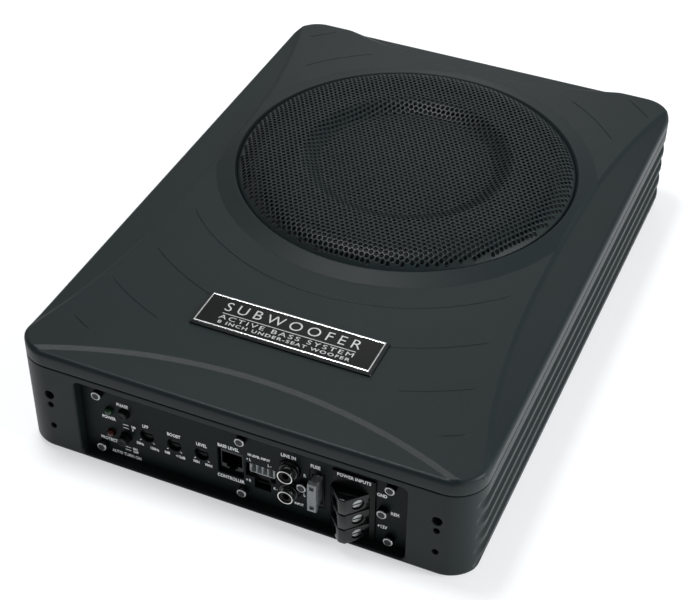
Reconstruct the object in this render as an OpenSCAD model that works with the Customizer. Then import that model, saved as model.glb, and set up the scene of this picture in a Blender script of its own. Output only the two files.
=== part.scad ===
// Powered under-seat car subwoofer: a cast two-piece enclosure with a shallow 8 inch woofer facing up
// behind a domed grille, and a class AB amplifier whose controls and sockets sit in a recess at the front.
// Millimetres. +Z is up, X is the width, and the control panel faces -Y.

/* [Enclosure] */
// Width across the ribbed long sides
body_w = 250; // [246:1:260]
// Length from the control panel end to the rear
body_l = 352; // [350:1:365]
// Radius of the upright corners
corner_r = 18; // [16:1:20]
// Height of the lower housing
housing_h = 56; // [55:1:60]
// Height of the cover from the parting line to its sloping edge facets
cover_h = 8.5; // [8:0.5:10]
// Thickness of the long side walls
side_wall = 6; // [5.5:0.5:7]
// Thickness of the end walls
end_wall = 4; // [3.5:0.5:5]
// Thickness of the housing floor
floor_t = 3.5; // [3:0.5:4]
// How far the rubber feet stand proud of the floor
foot_proud = 1; // [0.5:0.5:2]

/* [Side ribs] */
// Number of grooves along each long side
groove_count = 5; // [3:1:5]
// Height from one groove to the next
groove_pitch = 10.7; // [10:0.1:11]
// Height of the lowest groove above the floor's underside
groove_first = 2.8; // [2:0.1:4]
// Width of a groove's mouth
groove_w = 7.5; // [6:0.5:8]
// Depth of a groove
groove_depth = 2.4; // [1.5:0.1:2.8]

/* [Top cover] */
// Step from the edge facets up to the star-shaped plateau
plateau_step = 1.8; // [1:0.1:2.5]
// Rise of the ring round the grille above the plateau
ring_rise = 2.7; // [2:0.1:3.5]
// Outer radius of that ring
ring_r = 109.2; // [107:0.1:111]
// Radius of the grille's seat
grille_r = 97.3; // [96:0.1:98]
// Distance from the front face to the woofer's axis
woofer_d = 222; // [218:1:224]
// Depth of the front facet at the middle of the width
front_sag = 27.6; // [24:0.1:32]
// Depth of the rear facet at the middle of the width
rear_sag = 17; // [14:1:20]
// Depth of the side facets at the middle of the length
side_sag = 24; // [20:1:28]

/* [Woofer] */
// Radius of the basket's flange
flange_r = 94; // [93:0.5:94]
// Radius of the voice coil former
former_r = 18.6; // [18:0.1:19]

/* [Control panel] */
// Width of the panel recess
recess_w = 180.5; // [178:0.5:182]
// Height of the panel recess
recess_h = 49.5; // [48:0.5:50]
// Depth of the panel behind the front face
panel_d = 6; // [6:0.5:7]
// Thickness of the panel
panel_t = 1.5; // [1:0.1:1.5]
// How far the power terminal block stands out of the front face
block_reach = 4.5; // [4:0.5:5]
// Spacing of the power terminals
terminal_pitch = 10.3; // [10.2:0.1:10.5]

/* [Hidden] */
$fn = 64;
joint_gap = 0.05;
mate = 0.01;

base_z = foot_proud;
floor_z = base_z + floor_t;
part_z = base_z + housing_h;
gasket_t = 0.6;
cover_z = part_z + gasket_t;
facet_z = part_z + cover_h;
plateau_z = facet_z + plateau_step;
ring_z = plateau_z + ring_rise;
skin_z = facet_z - 3.2;
front_y = block_reach - (body_l + block_reach) / 2;
mid_y = front_y + body_l / 2;
woofer_y = front_y + woofer_d;

post_r = 6;
post_in = 13;
side_post_x = body_w / 2 - 10.4;
cover_posts = [
    [-(body_w / 2 - post_in), post_in], [body_w / 2 - post_in, post_in],
    [-side_post_x, 118], [side_post_x, 118],
    [-(body_w / 2 - post_in), body_l - post_in], [body_w / 2 - post_in, body_l - post_in],
    [-50, body_l - 8.6], [50, body_l - 8.6]
];
cover_screw_r = 1.95;
foot_r = 8;
foot_spots = [[-92, 32], [92, 32], [-92, body_l - 32], [92, body_l - 32]];

recess_z = base_z + 2.5;
panel_clear = 0.25;
panel_screw_spots = [[-79.7, 45], [-79.7, 9], [0.8, 45], [0.8, 9], [80.3, 45], [80.3, 9], [34, 27], [76.5, 27]];
lug_screws = 6;
panel_screw_r = 1.45;
bracket_x = 105.7;
bracket_big_z = base_z + 37.4;
bracket_small_z = [base_z + 30.7, base_z + 15.9];

led_x = -74.3;
led_z = [34.9, 19.5];
button_x = -65.8;
button_z = [35.6, 19.4];
pot_x = [-53.6, -38, -22.4];
pot_z = 24.5;
pot_shaft_r = 2.9;
jack_x = -6.2;
jack_z = 25;
socket_x = 10.4;
socket_z = 24.9;
rca_x = 27;
rca_z = [20.9, 35.1];
sleeve_r = 4.15;
sleeve_root_r = 3.95;
fuse_x = 41.3;
fuse_z = 26.7;
terminal_z = [31.3, 31.3 - terminal_pitch, 31.3 - 2 * terminal_pitch];
terminal_x = 59.8;
terminal_d = 5.8;
terminal_turn = 43.5;

board_z = 12.9;
board_t = 1.6;
board_top = board_z + board_t;
board_screw_spots = [[-100, 30], [100, 30], [-100, 104], [100, 104]];
clamp_z = 30;
clamp_spots = [35, 99];
transistor_spots = [44, 60, 76, 92];

ledge_z = 58.5;
collar_r = 101.5;
bore_r = flange_r + 0.5;
woofer_screw_r = 90.5;
woofer_screws_n = 8;
surround_r = 77;
surround_half = 6.5;
spider_z = 36;
flange_top = ledge_z + 1.5;
neck_r = former_r + 0.15;
cap_r = 24;
cap_rise = 8;

nameplate_w = 100.4;
nameplate_l = 26.4;
nameplate_d = 63;
jack_cavity_z = jack_z - 3.4;
wire_face = 9.3;
screw_face = 7.6;
block_z = 5.4;
block_h = 31.2;
transformer_x = -46;
transformer_d = 72;
lead_route = [[6, 100, 14.7], [6, 101, 24], [7, 110, 32], [7, 124, 30], [6, 140, 20], [5, 152, 17],
    [5, 157, 24], [5, 158.6, 31.8]];
tinsel_route = [[5, 60.4, 39.5], [6, 55, 39.6], [6, 49, 42.5], [6, 42, 46.6], [6, 37.6, 48.7]];

grille_top = ring_z + 6;
grille_seat_z = ring_z - 3.5;
grille_t = 1;
function clamp01(t) = max(0, min(1, t));
function smooth(t) = t * t * (3 - 2 * t);
// Height of the grille's outer surface at a distance r from its axis
function grille_height(r) = grille_top
    - 7.7 * pow(clamp01((r - 72) / (grille_r - 72)), 4)
    - 5.4 * smooth(clamp01((62 - r) / 14))
    + 1.0 * (1 - pow(clamp01(r / 46), 2));

// Shared shapes

// Places a child by its x, its distance behind the front face, and its height
module at(x, d, z) {
    translate([x, front_y + d, z]) children();
}

// A cylinder that starts here and runs towards the rear
module rod_back(r, h) {
    rotate([-90, 0, 0]) cylinder(r = r, h = h);
}

module rounded_outline(w, l, r) {
    square([w - 2 * r, l], center = true);
    square([w, l - 2 * r], center = true);
    for (sx = [-1, 1], sy = [-1, 1])
        translate([sx * (w / 2 - r), sy * (l / 2 - r)]) circle(r);
}

// The enclosure's plan shape, moved in from the outside by inset
module body_slab(inset, z, h) {
    translate([0, mid_y, z])
        linear_extrude(h)
            rounded_outline(body_w - 2 * inset, body_l - 2 * inset, corner_r - inset);
}

module box_from(x, d, z, size) {
    at(x, d, z) translate([-size[0] / 2, 0, 0]) cube(size);
}

// A plate upright in X and Z, from its centre, going back from depth d
module upright_plate(x, d, z, w, h, t, r) {
    at(x, d + t, z) rotate([90, 0, 0]) linear_extrude(t) rounded_outline(w, h, r);
}

function arc_radius(half, sag) = (half * half + sag * sag) / (2 * sag);

// Lower housing

module side_grooves() {
    groove_r = (groove_w * groove_w / 4 + groove_depth * groove_depth) / (2 * groove_depth);
    for (side = [-1, 1], i = [0 : groove_count - 1])
        translate([side * (body_w / 2 + groove_r - groove_depth), front_y - 1,
                base_z + groove_first + i * groove_pitch])
            rod_back(groove_r, body_l + 2);
}

module bracket_holes(d, depth) {
    for (side = [-1, 1]) {
        at(side * bracket_x, d, bracket_big_z) rod_back(2.6, depth);
        for (z = bracket_small_z)
            at(side * bracket_x, d, z) rod_back(1.65, depth);
    }
}

module bracket_pads(d) {
    for (side = [-1, 1])
        box_from(side * bracket_x, d, base_z + 10, [15, 5.5, 34]);
}

module panel_collar() {
    box_from(0, 3, base_z, [recess_w + 6, 9, housing_h - 2]);
}

module panel_lugs() {
    lug_d = panel_d + panel_t;
    for (i = [0 : lug_screws - 1]) {
        x = panel_screw_spots[i][0];
        z = panel_screw_spots[i][1];
        if (z > jack_z)
            box_from(x, lug_d, z - 4.5, [9, 12 - lug_d, part_z - 2 - z + 4.5]);
        else
            box_from(x, lug_d, base_z, [9, 12 - lug_d, z + 4.5 - base_z]);
    }
}

module lower_housing() color("dimgray") difference() {
    union() {
        difference() {
            body_slab(0, base_z, housing_h);
            translate([0, mid_y, floor_z])
                linear_extrude(housing_h)
                    rounded_outline(body_w - 2 * side_wall, body_l - 2 * end_wall, corner_r - 5);
        }
        difference() {
            panel_collar();
            upright_plate(0, 2, recess_z + recess_h / 2, recess_w, recess_h, 12, 3);
        }
        panel_lugs();
        bracket_pads(end_wall - 0.5);
        bracket_pads(body_l - end_wall - 5);
        for (p = cover_posts)
            at(p[0], p[1], floor_z - 1) cylinder(r = post_r, h = part_z - floor_z + 1);
        for (p = board_screw_spots)
            at(p[0], p[1], floor_z - 1) cylinder(r = 4, h = board_z - floor_z + 1);
    }
    side_grooves();
    upright_plate(0, -1, recess_z + recess_h / 2, recess_w, recess_h, 1 + panel_d + panel_t + mate, 3);
    for (p = cover_posts) {
        at(p[0], p[1], base_z - 1) cylinder(r = 3.8, h = 5);
        at(p[0], p[1], base_z) cylinder(r = cover_screw_r + joint_gap, h = housing_h + 1);
    }
    for (i = [0 : lug_screws - 1])
        at(panel_screw_spots[i][0], panel_d, panel_screw_spots[i][1])
            rod_back(panel_screw_r + joint_gap, 8);
    for (p = board_screw_spots)
        at(p[0], p[1], floor_z) cylinder(r = 1.5, h = board_z);
    bracket_holes(-1, 9);
    bracket_holes(body_l - 8, 9);
    for (p = foot_spots)
        at(p[0], p[1], 0) cylinder(r = foot_r + joint_gap, h = base_z + 1);
    for (side = [-1, 1], d = clamp_spots)
        at(side * (body_w / 2 - side_wall - 1), d, clamp_z)
            rotate([0, side * 90, 0]) cylinder(r = 1.5, h = 4);
}

// Top cover

module facet_cut(half, sag, inset) {
    r = arc_radius(half, sag);
    translate([0, inset + sag - r]) circle(r, $fn = 180);
}

// The star-shaped plateau: the plan shape less four shallow bowed facets
module star_outline() {
    difference() {
        translate([0, mid_y]) rounded_outline(body_w - 3, body_l - 3, corner_r - 1.5);
        translate([0, front_y]) facet_cut(114.3, front_sag - 3, 3);
        translate([0, front_y + body_l]) mirror([0, 1]) facet_cut(102, rear_sag, 0);
        for (side = [-1, 1])
            translate([side * body_w / 2, mid_y + 12]) rotate(side * 90) facet_cut(168, side_sag - 1, 1);
    }
}

module star_slab(z, h) {
    translate([0, 0, z]) linear_extrude(h) star_outline();
}

module grille_surround() {
    intersection() {
        translate([0, woofer_y, 0])
            rotate_extrude($fn = 128)
                polygon([[collar_r - 10, plateau_z - 1], [ring_r, plateau_z - 1], [ring_r, plateau_z + 0.3],
                    [grille_r + 1.5, ring_z], [collar_r - 10, ring_z]]);
        star_slab(plateau_z - 1, ring_rise + 2);
    }
}

module engraved_arcs() {
    for (i = [0 : 3])
        translate([0, woofer_y, plateau_z - 0.5]) difference() {
            cylinder(r = 125.4 + 31 * i, h = 1, $fn = 180);
            translate([0, 0, -1]) cylinder(r = 124.6 + 31 * i, h = 3, $fn = 180);
        }
}

module top_cover() color("dimgray") difference() {
    union() {
        difference() {
            union() {
                body_slab(0, cover_z, facet_z - cover_z - 2);
                body_slab(0.4, facet_z - 2.1, 1);
                body_slab(1.1, facet_z - 1.2, 0.7);
                body_slab(2.2, facet_z - 0.6, 0.6);
                star_slab(facet_z - 0.6, plateau_step + 0.6);
            }
            translate([0, mid_y, cover_z - 1])
                linear_extrude(skin_z - cover_z + 1)
                    rounded_outline(body_w - 2 * side_wall, body_l - 2 * end_wall, corner_r - 5);
        }
        grille_surround();
        translate([0, woofer_y, ledge_z - 4]) cylinder(r = collar_r, h = plateau_z - ledge_z + 3);
        for (p = cover_posts)
            at(p[0], p[1], part_z) cylinder(r = post_r - 1, h = skin_z - part_z + 0.5);
    }
    engraved_arcs();
    translate([0, woofer_y, ledge_z - 5]) cylinder(r = 86, h = 20);
    translate([0, woofer_y, ledge_z]) cylinder(r = bore_r, h = 20);
    translate([0, woofer_y, grille_seat_z]) cylinder(r = grille_r, h = 20);
    for (p = cover_posts)
        at(p[0], p[1], part_z - 1) cylinder(r = cover_screw_r + joint_gap, h = 7);
    for (i = [0 : woofer_screws_n - 1])
        translate([0, woofer_y, 0]) rotate(22.5 + i * 360 / woofer_screws_n)
            translate([woofer_screw_r, 0, ledge_z - 5]) cylinder(r = 1.95, h = 8);
}

module cover_gasket() color("black") difference() {
    body_slab(1, part_z, gasket_t);
    translate([0, mid_y, part_z - 1])
        linear_extrude(gasket_t + 2) rounded_outline(body_w - 7, body_l - 7, corner_r - 3.5);
}

module cap_screw(head_r, head_h, shaft_r, shaft_l, socket_r) {
    difference() {
        union() {
            translate([0, 0, -head_h]) cylinder(r = head_r, h = head_h);
            cylinder(r = shaft_r, h = shaft_l);
        }
        translate([0, 0, -head_h - 1]) cylinder(r = socket_r, h = 1 + head_h * 0.6, $fn = 6);
    }
}

module cover_screws() color("silver")
    for (p = cover_posts)
        at(p[0], p[1], base_z + 4) cap_screw(3.5, 2.8, cover_screw_r, housing_h + 1, 1.5);

module feet() color("black")
    for (p = foot_spots)
        at(p[0], p[1], 0) difference() {
            cylinder(r = foot_r, h = base_z + 1 - mate);
            translate([0, 0, -1]) cylinder(r = 2.5, h = 2);
        }

// Grille: one pressed steel dome with a stepped-down centre

module grille() color("dimgray") {
    rim = grille_r - 0.2;
    steps = [for (i = [0 : 24]) rim * (1 - i / 24)];
    outer = [for (r = steps) [max(r, 0), grille_height(r)]];
    inner = [for (i = [24 : -1 : 1]) [steps[i], grille_height(steps[i]) - grille_t]];
    translate([0, woofer_y, 0])
        rotate_extrude($fn = 128)
            polygon(concat([[rim, grille_seat_z]], outer, inner,
                [[rim - 1.2, grille_height(rim) - grille_t], [rim - 1.2, grille_seat_z + 0.8],
                [rim - 2.2, grille_seat_z + 0.8], [rim - 2.2, grille_seat_z]]));
}

// Nameplate

module nameplate_frame() color("silver") difference() {
    at(0, nameplate_d, plateau_z + mate)
        linear_extrude(2) rounded_outline(nameplate_w, nameplate_l, 0.8);
    at(0, nameplate_d, plateau_z + 1.2)
        linear_extrude(2) rounded_outline(nameplate_w - 5, nameplate_l - 5, 0.5);
}

module nameplate_insert() color("black")
    at(0, nameplate_d, plateau_z + 1.2 + mate)
        linear_extrude(0.6) rounded_outline(nameplate_w - 5.2, nameplate_l - 5.2, 0.4);

// Control panel

module control_panel() color("dimgray") difference() {
    upright_plate(0, panel_d, recess_z + recess_h / 2,
        recess_w - 2 * panel_clear, recess_h - 2 * panel_clear, panel_t, 2.8);
    cut_d = panel_d - 1;
    cut_t = panel_t + 2;
    for (p = panel_screw_spots) at(p[0], cut_d, p[1]) rod_back(1.6, cut_t);
    for (z = led_z) at(led_x, cut_d, z) rod_back(2.35, cut_t);
    for (z = button_z) at(button_x, cut_d, z) rod_back(3.2, cut_t);
    for (x = pot_x) at(x, cut_d, pot_z) rod_back(4, cut_t);
    for (z = rca_z) at(rca_x, cut_d, z) rod_back(5.8, cut_t);
    upright_plate(jack_x, cut_d, jack_z, 14.3, 16.8, cut_t, 0.4);
    upright_plate(socket_x, cut_d, socket_z, 16.5, 9, cut_t, 0.5);
    upright_plate(socket_x + 1, cut_d, socket_z - 7.5, 9, 8, cut_t, 0.5);
    upright_plate(fuse_x, cut_d, fuse_z, 8, 24.6, cut_t, 0.5);
    upright_plate(61.2, cut_d, 24, 21, 39, cut_t, 0.5);
}

module panel_screws() color("silver")
    for (p = panel_screw_spots)
        at(p[0], panel_d - mate, p[1]) rotate([-90, 0, 0]) cap_screw(2.75, 3.4, panel_screw_r, 7.5, 1.25);

module led(z) {
    at(led_x, panel_d - 0.9, z) sphere(2.2);
    at(led_x, panel_d - 0.9, z) rod_back(2.2, 3);
    at(led_x, panel_d + panel_t + mate, z) rod_back(2.6, 0.9);
}

module power_led() color("limegreen") led(led_z[0]);

module protect_led() color("red") led(led_z[1]);

// Push switches: a plunger runs in the body's bore

module push_switch(z, legs_d) {
    difference() {
        union() {
            box_from(button_x, 9, z - 4.2, [8.4, 12, 8.4]);
            box_from(button_x, legs_d, board_top, [6, 1.4, z - board_top]);
        }
        at(button_x, 8, z) rod_back(1.8 + joint_gap, 12);
    }
}

module push_button(z, front, back) {
    at(button_x, front, z) rod_back(2.9, back - front);
    at(button_x, back - 1, z) rod_back(1.8, 8);
}

module phase_switch() color("black") push_switch(button_z[0], 21.1);

module phase_button() color("black") push_button(button_z[0], 3.2, 8.2);

module mode_switch() color("black") push_switch(button_z[1], 19);

module mode_button() color("black") push_button(button_z[1], 1, 6.2);

// Rotary controls: a slotted shaft turns in the body's bush

module pot_body(x) difference() {
    union() {
        box_from(x, 10, board_top, [9.8, 8, pot_z + 5 - board_top]);
        at(x, 8, pot_z) rod_back(3.8, 3);
    }
    at(x, 7, pot_z) rod_back(pot_shaft_r + joint_gap, 9);
}

module pot_shaft(x) difference() {
    at(x, 7.7, pot_z) rod_back(pot_shaft_r, 8);
    box_from(x, 6.7, pot_z - 0.4, [8, 2.2, 0.8]);
}

module crossover_pot() color("black") pot_body(pot_x[0]);

module crossover_shaft() color("ivory") pot_shaft(pot_x[0]);

module boost_pot() color("black") pot_body(pot_x[1]);

module boost_shaft() color("ivory") pot_shaft(pot_x[1]);

module level_pot() color("black") pot_body(pot_x[2]);

module level_shaft() color("ivory") pot_shaft(pot_x[2]);

// Sockets

module remote_jack() color("darkslategray") difference() {
    box_from(jack_x, 7.9, board_top, [13.9, 15, jack_z + 8.2 - board_top]);
    box_from(jack_x, 7, jack_cavity_z, [11.4, 13, 8.2]);
    box_from(jack_x, 7, jack_cavity_z - 1.9, [6.2, 13, 2]);
    box_from(jack_x, 7, jack_cavity_z - 3.4, [3.4, 8, 2]);
}

module remote_contacts() color("gold")
    for (i = [0 : 7])
        box_from(jack_x + (i - 3.5) * 1.02, 9, jack_cavity_z + 7.6, [0.45, 11, 0.5]);

module speaker_socket() color("whitesmoke") difference() {
    union() {
        box_from(socket_x, 8, socket_z - 3.6, [14.1, 14, 7.2]);
        box_from(socket_x, 14, board_top, [14.1, 8, socket_z - 3.5 - board_top]);
    }
    box_from(socket_x, 7, socket_z - 2.8, [12.5, 11, 5.6]);
    for (i = [0 : 3])
        at(socket_x + (i - 1.5) * 3, 17, socket_z) rod_back(0.6, 6);
}

module socket_pins() color("silver")
    for (i = [0 : 3])
        at(socket_x + (i - 1.5) * 3, 12.6, socket_z) rod_back(0.55, 11);

module rca_block() color("black") difference() {
    union() {
        box_from(29, panel_d + panel_t + mate, board_top, [16, 15, 42 - board_top]);
        for (z = rca_z) at(rca_x, 3, z) rod_back(5.6, 6);
    }
    for (z = rca_z) at(rca_x, 2, z) rod_back(sleeve_root_r + joint_gap, 8);
    at(panel_screw_spots[6][0], 5, panel_screw_spots[6][1]) rod_back(panel_screw_r + joint_gap, 10);
}

module rca_sleeves() color("silver")
    for (z = rca_z)
        at(rca_x, -1, z) difference() {
            union() {
                rod_back(sleeve_r, 4);
                rod_back(sleeve_root_r, 10.9);
            }
            translate([0, -1, 0]) rod_back(3.45, 13);
        }

module rca_centres() color("white")
    for (z = rca_z)
        at(rca_x, -0.2, z) difference() {
            rod_back(3.4, 10.1);
            translate([0, -1, 0]) rod_back(1.65, 9);
        }

// Blade fuse in its holder

module fuse_holder() color("black") difference() {
    box_from(fuse_x, panel_d + 0.2, fuse_z - 12, [7.4, 21, 24]);
    box_from(fuse_x, panel_d - 1, fuse_z - 9.8, [5.6, 7, 19.6]);
    for (side = [-1, 1])
        box_from(fuse_x, panel_d + 5, fuse_z + side * 6 - 3.4, [4.4, 15, 6.8]);
}

module fuse_clips() color("gold")
    for (z = [fuse_z - 6, fuse_z + 6])
        difference() {
            box_from(fuse_x, 12.2, z - 3, [2.8, 12.4, 6]);
            box_from(fuse_x, 11, z - 4, [0.8, 11, 8]);
        }

module fuse_body() color("lightgray") difference() {
    union() {
        box_from(fuse_x, -1, fuse_z - 9.55, [5.1, 3, 19.1]);
        box_from(fuse_x, 1.9, fuse_z - 8.6, [4.4, 9, 17.2]);
    }
    for (side = [-1, 1])
        box_from(fuse_x, 9, fuse_z + side * 6 - 2.6, [0.8, 3, 5.2]);
}

module fuse_blades() color("silver")
    for (side = [-1, 1])
        box_from(fuse_x, 9 + mate, fuse_z + side * 6 - 2.5, [0.7, 10, 5]);

// Power terminals: a wire enters the left facet and a cage, drawn up by a captive screw, clamps it

// Local frame of a terminal: +Y runs in along the wire and +X runs out along the screw
module terminal_frame(z) {
    at(terminal_x, terminal_d, z) rotate([0, 0, -terminal_turn]) children();
}

module terminal_wedge() {
    intersection() {
        at(terminal_x, terminal_d, block_z) rotate([0, 0, -terminal_turn])
            translate([-30, -wire_face, 0]) cube([30 + screw_face, 40, block_h]);
        box_from(60, -block_reach, 0, [21, 10.4, 60]);
    }
}

module terminal_block() color("black") difference() {
    union() {
        terminal_wedge();
        box_from(61, 4.8, 4.6, [23, 1.2, 40.9]);
        box_from(61.2, 4.8, 4.8, [20.6, 15.2, 38]);
        box_from(75, panel_d + panel_t + mate, 21, [11, 4, 12]);
    }
    at(panel_screw_spots[7][0], 5, panel_screw_spots[7][1]) rod_back(panel_screw_r + joint_gap, 10);
    for (z = terminal_z)
        terminal_frame(z) {
            translate([0, -wire_face - 1, 0]) rod_back(2.2, wire_face);
            translate([-3.3, -3.6, -3.7]) cube([7.8, 7.2, 7.4]);
            rotate([0, 90, 0]) cylinder(r = 1.9 + joint_gap, h = 8);
            translate([5.3, 0, 0]) rotate([0, 90, 0]) cylinder(r = 3.2, h = 8);
        }
}

module terminal_screw(z) color("silver") terminal_frame(z) difference() {
    union() {
        translate([2.25, 0, 0]) rotate([0, 90, 0]) cylinder(r = 1.9, h = 4);
        translate([5.35, 0, 0]) rotate([0, 90, 0]) cylinder(r = 2.9, h = 1.5);
    }
    translate([6.1, -3.5, -0.4]) cube([2, 7, 0.8]);
}

module terminal_cage(z) color("goldenrod") terminal_frame(z) difference() {
    translate([-3.1, -3.3, -3.4]) cube([6.3, 6.6, 6.8]);
    translate([-2.3, -4, -2.6]) cube([4.6, 8, 5.2]);
    rotate([0, 90, 0]) cylinder(r = 1.9 + joint_gap, h = 4);
}

module terminal_screw_1() terminal_screw(terminal_z[0]);

module terminal_screw_2() terminal_screw(terminal_z[1]);

module terminal_screw_3() terminal_screw(terminal_z[2]);

module terminal_cage_1() terminal_cage(terminal_z[0]);

module terminal_cage_2() terminal_cage(terminal_z[1]);

module terminal_cage_3() terminal_cage(terminal_z[2]);

// Amplifier

module amp_board() color("darkgreen") difference() {
    union() {
        box_from(0, 13, board_z + mate, [184, 12, board_t - mate]);
        box_from(0, 24, board_z + mate, [232, 86, board_t - mate]);
    }
    box_from(61.2, 12, board_z - 1, [21.6, 9, 4]);
    for (p = board_screw_spots)
        at(p[0], p[1], board_z - 1) cylinder(r = 1.6, h = 4);
}

module inner_screws() color("silver") {
    for (p = board_screw_spots)
        at(p[0], p[1], board_top + mate) mirror([0, 0, 1]) cap_screw(2.75, 2, 1.45, 8, 1.2);
    for (side = [-1, 1], d = clamp_spots)
        at(side * (body_w / 2 - side_wall - 7.7), d, clamp_z)
            rotate([0, side * 90, 0]) cap_screw(2.75, 2, 1.45, 10, 1.2);
}

module power_transistors() color("black") {
    wall_x = body_w / 2 - side_wall - mate;
    for (side = [-1, 1], d = transistor_spots) {
        box_from(side * (wall_x - 2.3), d - 5, 20, [4.6, 10, 16]);
        for (leg = [-2.5, 0, 2.5])
            box_from(side * (wall_x - 3.6), d + leg - 0.4, board_top, [0.6, 0.8, 20.1 - board_top]);
    }
}

module clamp_bars() color("silver")
    for (side = [-1, 1])
        difference() {
            box_from(side * (body_w / 2 - side_wall - 6.2), 30, clamp_z - 4, [3, 74, 8]);
            for (d = clamp_spots)
                at(side * (body_w / 2 - side_wall - 9), d, clamp_z)
                    rotate([0, side * 90, 0]) cylinder(r = 1.6, h = 8);
        }

module torus(major, minor) {
    rotate_extrude() translate([major, 0]) circle(minor);
}

module transformer_core() color("darkslategray")
    at(transformer_x, transformer_d, board_top + 8.3) torus(17, 5);

module transformer_winding() color("chocolate")
    at(transformer_x, transformer_d, board_top + 8.3) difference() {
        torus(17, 8);
        torus(17, 5.1);
        translate([0, -6, -10]) cube([40, 12, 20]);
    }

module filter_capacitors() color("navy") {
    for (x = [14, 34], d = [44, 66])
        at(x, d, board_top + mate) cylinder(r = 8, h = 30);
    for (i = [0 : 3])
        at(58 + 13 * i, 60, board_top + mate) cylinder(r = 5, h = 16);
}

// Wires swept as round tubes along a route

function unit(v) = v / norm(v);
function tangent(p, i) = unit(p[min(i + 1, len(p) - 1)] - p[max(i - 1, 0)]);
function side_of(t) = unit(cross(t, abs(t[2]) < 0.9 ? [0, 0, 1] : [1, 0, 0]));
function spline(p, i, t) =
    let (a = p[max(i - 1, 0)], b = p[i], c = p[i + 1], e = p[min(i + 2, len(p) - 1)])
    0.5 * (2 * b + (c - a) * t + (2 * a - 5 * b + 4 * c - e) * t * t + (3 * b - a - 3 * c + e) * t * t * t);
function smooth_route(p, n) = concat(
    [for (i = [0 : len(p) - 2], k = [0 : n - 1]) spline(p, i, k / n)], [p[len(p) - 1]]);

module wire(route, r) {
    p = smooth_route(route, 4);
    sides = 8;
    rings = len(p);
    points = [for (i = [0 : rings - 1], k = [0 : sides - 1])
        let (t = tangent(p, i), s = side_of(t), u = cross(t, s), a = k * 360 / sides)
        p[i] + r * (cos(a) * s + sin(a) * u)];
    walls = [for (i = [0 : rings - 2], k = [0 : sides - 1])
        let (a = i * sides + k, b = i * sides + (k + 1) % sides)
        [a, a + sides, b + sides, b]];
    caps = [[for (k = [0 : sides - 1]) k], [for (k = [sides - 1 : -1 : 0]) (rings - 1) * sides + k]];
    polyhedron(points, concat(walls, caps), convexity = 4);
}

module speaker_leads() color("red")
    for (side = [-1, 1])
        translate([0, front_y, 0])
            wire([for (p = lead_route) [side * p[0], p[1], p[2]]], 0.9);

// Woofer

module about_woofer(z) {
    translate([0, woofer_y, z]) children();
}

module woofer_basket() color("dimgray") difference() {
    about_woofer(0) rotate_extrude($fn = 96)
        polygon([[22, 26], [45, 26], [51.5, 34.6], [60, 34.6], [84.3, ledge_z], [flange_r, ledge_z],
            [flange_r, ledge_z + 1.5], [82.2, ledge_z + 1.5], [59, spider_z], [50.4, spider_z],
            [44, 27.4], [22, 27.4]]);
    for (i = [0 : 5])
        about_woofer(38.5) rotate(30 + 60 * i) translate([50, -17, 0]) cube([40, 34, 16]);
    box_from(0, woofer_d - 63.4, 30, [16.4, 3.2, 12]);
    for (i = [0 : woofer_screws_n - 1])
        about_woofer(ledge_z - 2) rotate(22.5 + i * 360 / woofer_screws_n)
            translate([woofer_screw_r, 0, 0]) cylinder(r = 2.1, h = 5);
}

module woofer_screws() color("silver")
    for (i = [0 : woofer_screws_n - 1])
        about_woofer(ledge_z + 1.5 + mate) rotate(22.5 + i * 360 / woofer_screws_n)
            translate([woofer_screw_r, 0, 0]) mirror([0, 0, 1]) cap_screw(2.9, 2.2, 1.9, 7, 1.3);

module tube(r_out, r_in, z, h) {
    about_woofer(z) difference() {
        cylinder(r = r_out, h = h);
        translate([0, 0, -1]) cylinder(r = r_in, h = h + 2);
    }
}

module magnet_ring() color("darkslategray") tube(45, 24, 11 + mate, 10 - 2 * mate);

module top_plate() color("silver") tube(43, 20.2, 21, 5 - mate);

module pole_yoke() color("silver") difference() {
    union() {
        about_woofer(6) cylinder(r = 43, h = 5);
        about_woofer(6) cylinder(r = 17.4, h = 20.5);
    }
    about_woofer(5) cylinder(r = 6, h = 23);
}

module spider() color("goldenrod") about_woofer(spider_z + mate) rotate_extrude($fn = 96)
    polygon(concat(
        [for (i = [0 : 24]) let (r = former_r + joint_gap + i * (57 - former_r) / 24)
            [r, 0.8 + 0.7 * (1 - cos(i * 90)) * (i > 1 && i < 23 ? 1 : 0)]],
        [for (i = [24 : -1 : 0]) let (r = former_r + joint_gap + i * (57 - former_r) / 24)
            [r, 0.7 * (1 - cos(i * 90)) * (i > 1 && i < 23 ? 1 : 0)]]));

module surround() color("black") about_woofer(flange_top + mate) rotate_extrude($fn = 96)
    union() {
        difference() {
            translate([surround_r, 0]) circle(surround_half);
            translate([surround_r, 0]) circle(surround_half - 0.7);
            translate([0, -20]) square([120, 20]);
        }
        translate([surround_r + surround_half - 0.7, 0]) square([4, 0.8]);
        translate([66.5, 0]) square([surround_r - surround_half - 66.5 + 0.7, 0.8]);
    }

module cone() color("black") about_woofer(flange_top) rotate_extrude($fn = 96)
    polygon([[neck_r, -16.5], [neck_r + 1.5, -16.5], [66.5, -0.9], [70.4, -0.8], [70.4, 0], [66, 0],
        [neck_r + 0.3, -15.2], [neck_r, -14.2]]);

module dust_cap() color("black") about_woofer(0) {
    sphere_r = arc_radius(cap_r, cap_rise);
    base = flange_top - 13.1;
    intersection() {
        difference() {
            translate([0, 0, base + cap_rise - sphere_r]) sphere(sphere_r, $fn = 128);
            translate([0, 0, base + cap_rise - sphere_r]) sphere(sphere_r - 0.8, $fn = 128);
        }
        translate([0, 0, base]) cylinder(r = cap_r, h = cap_rise + 1);
    }
}

module voice_coil() color("chocolate") {
    tube(former_r, former_r - 0.4, 19, flange_top - 14 - 19);
    tube(former_r + 0.75, former_r + mate, 19.5, 10.5);
}

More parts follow.
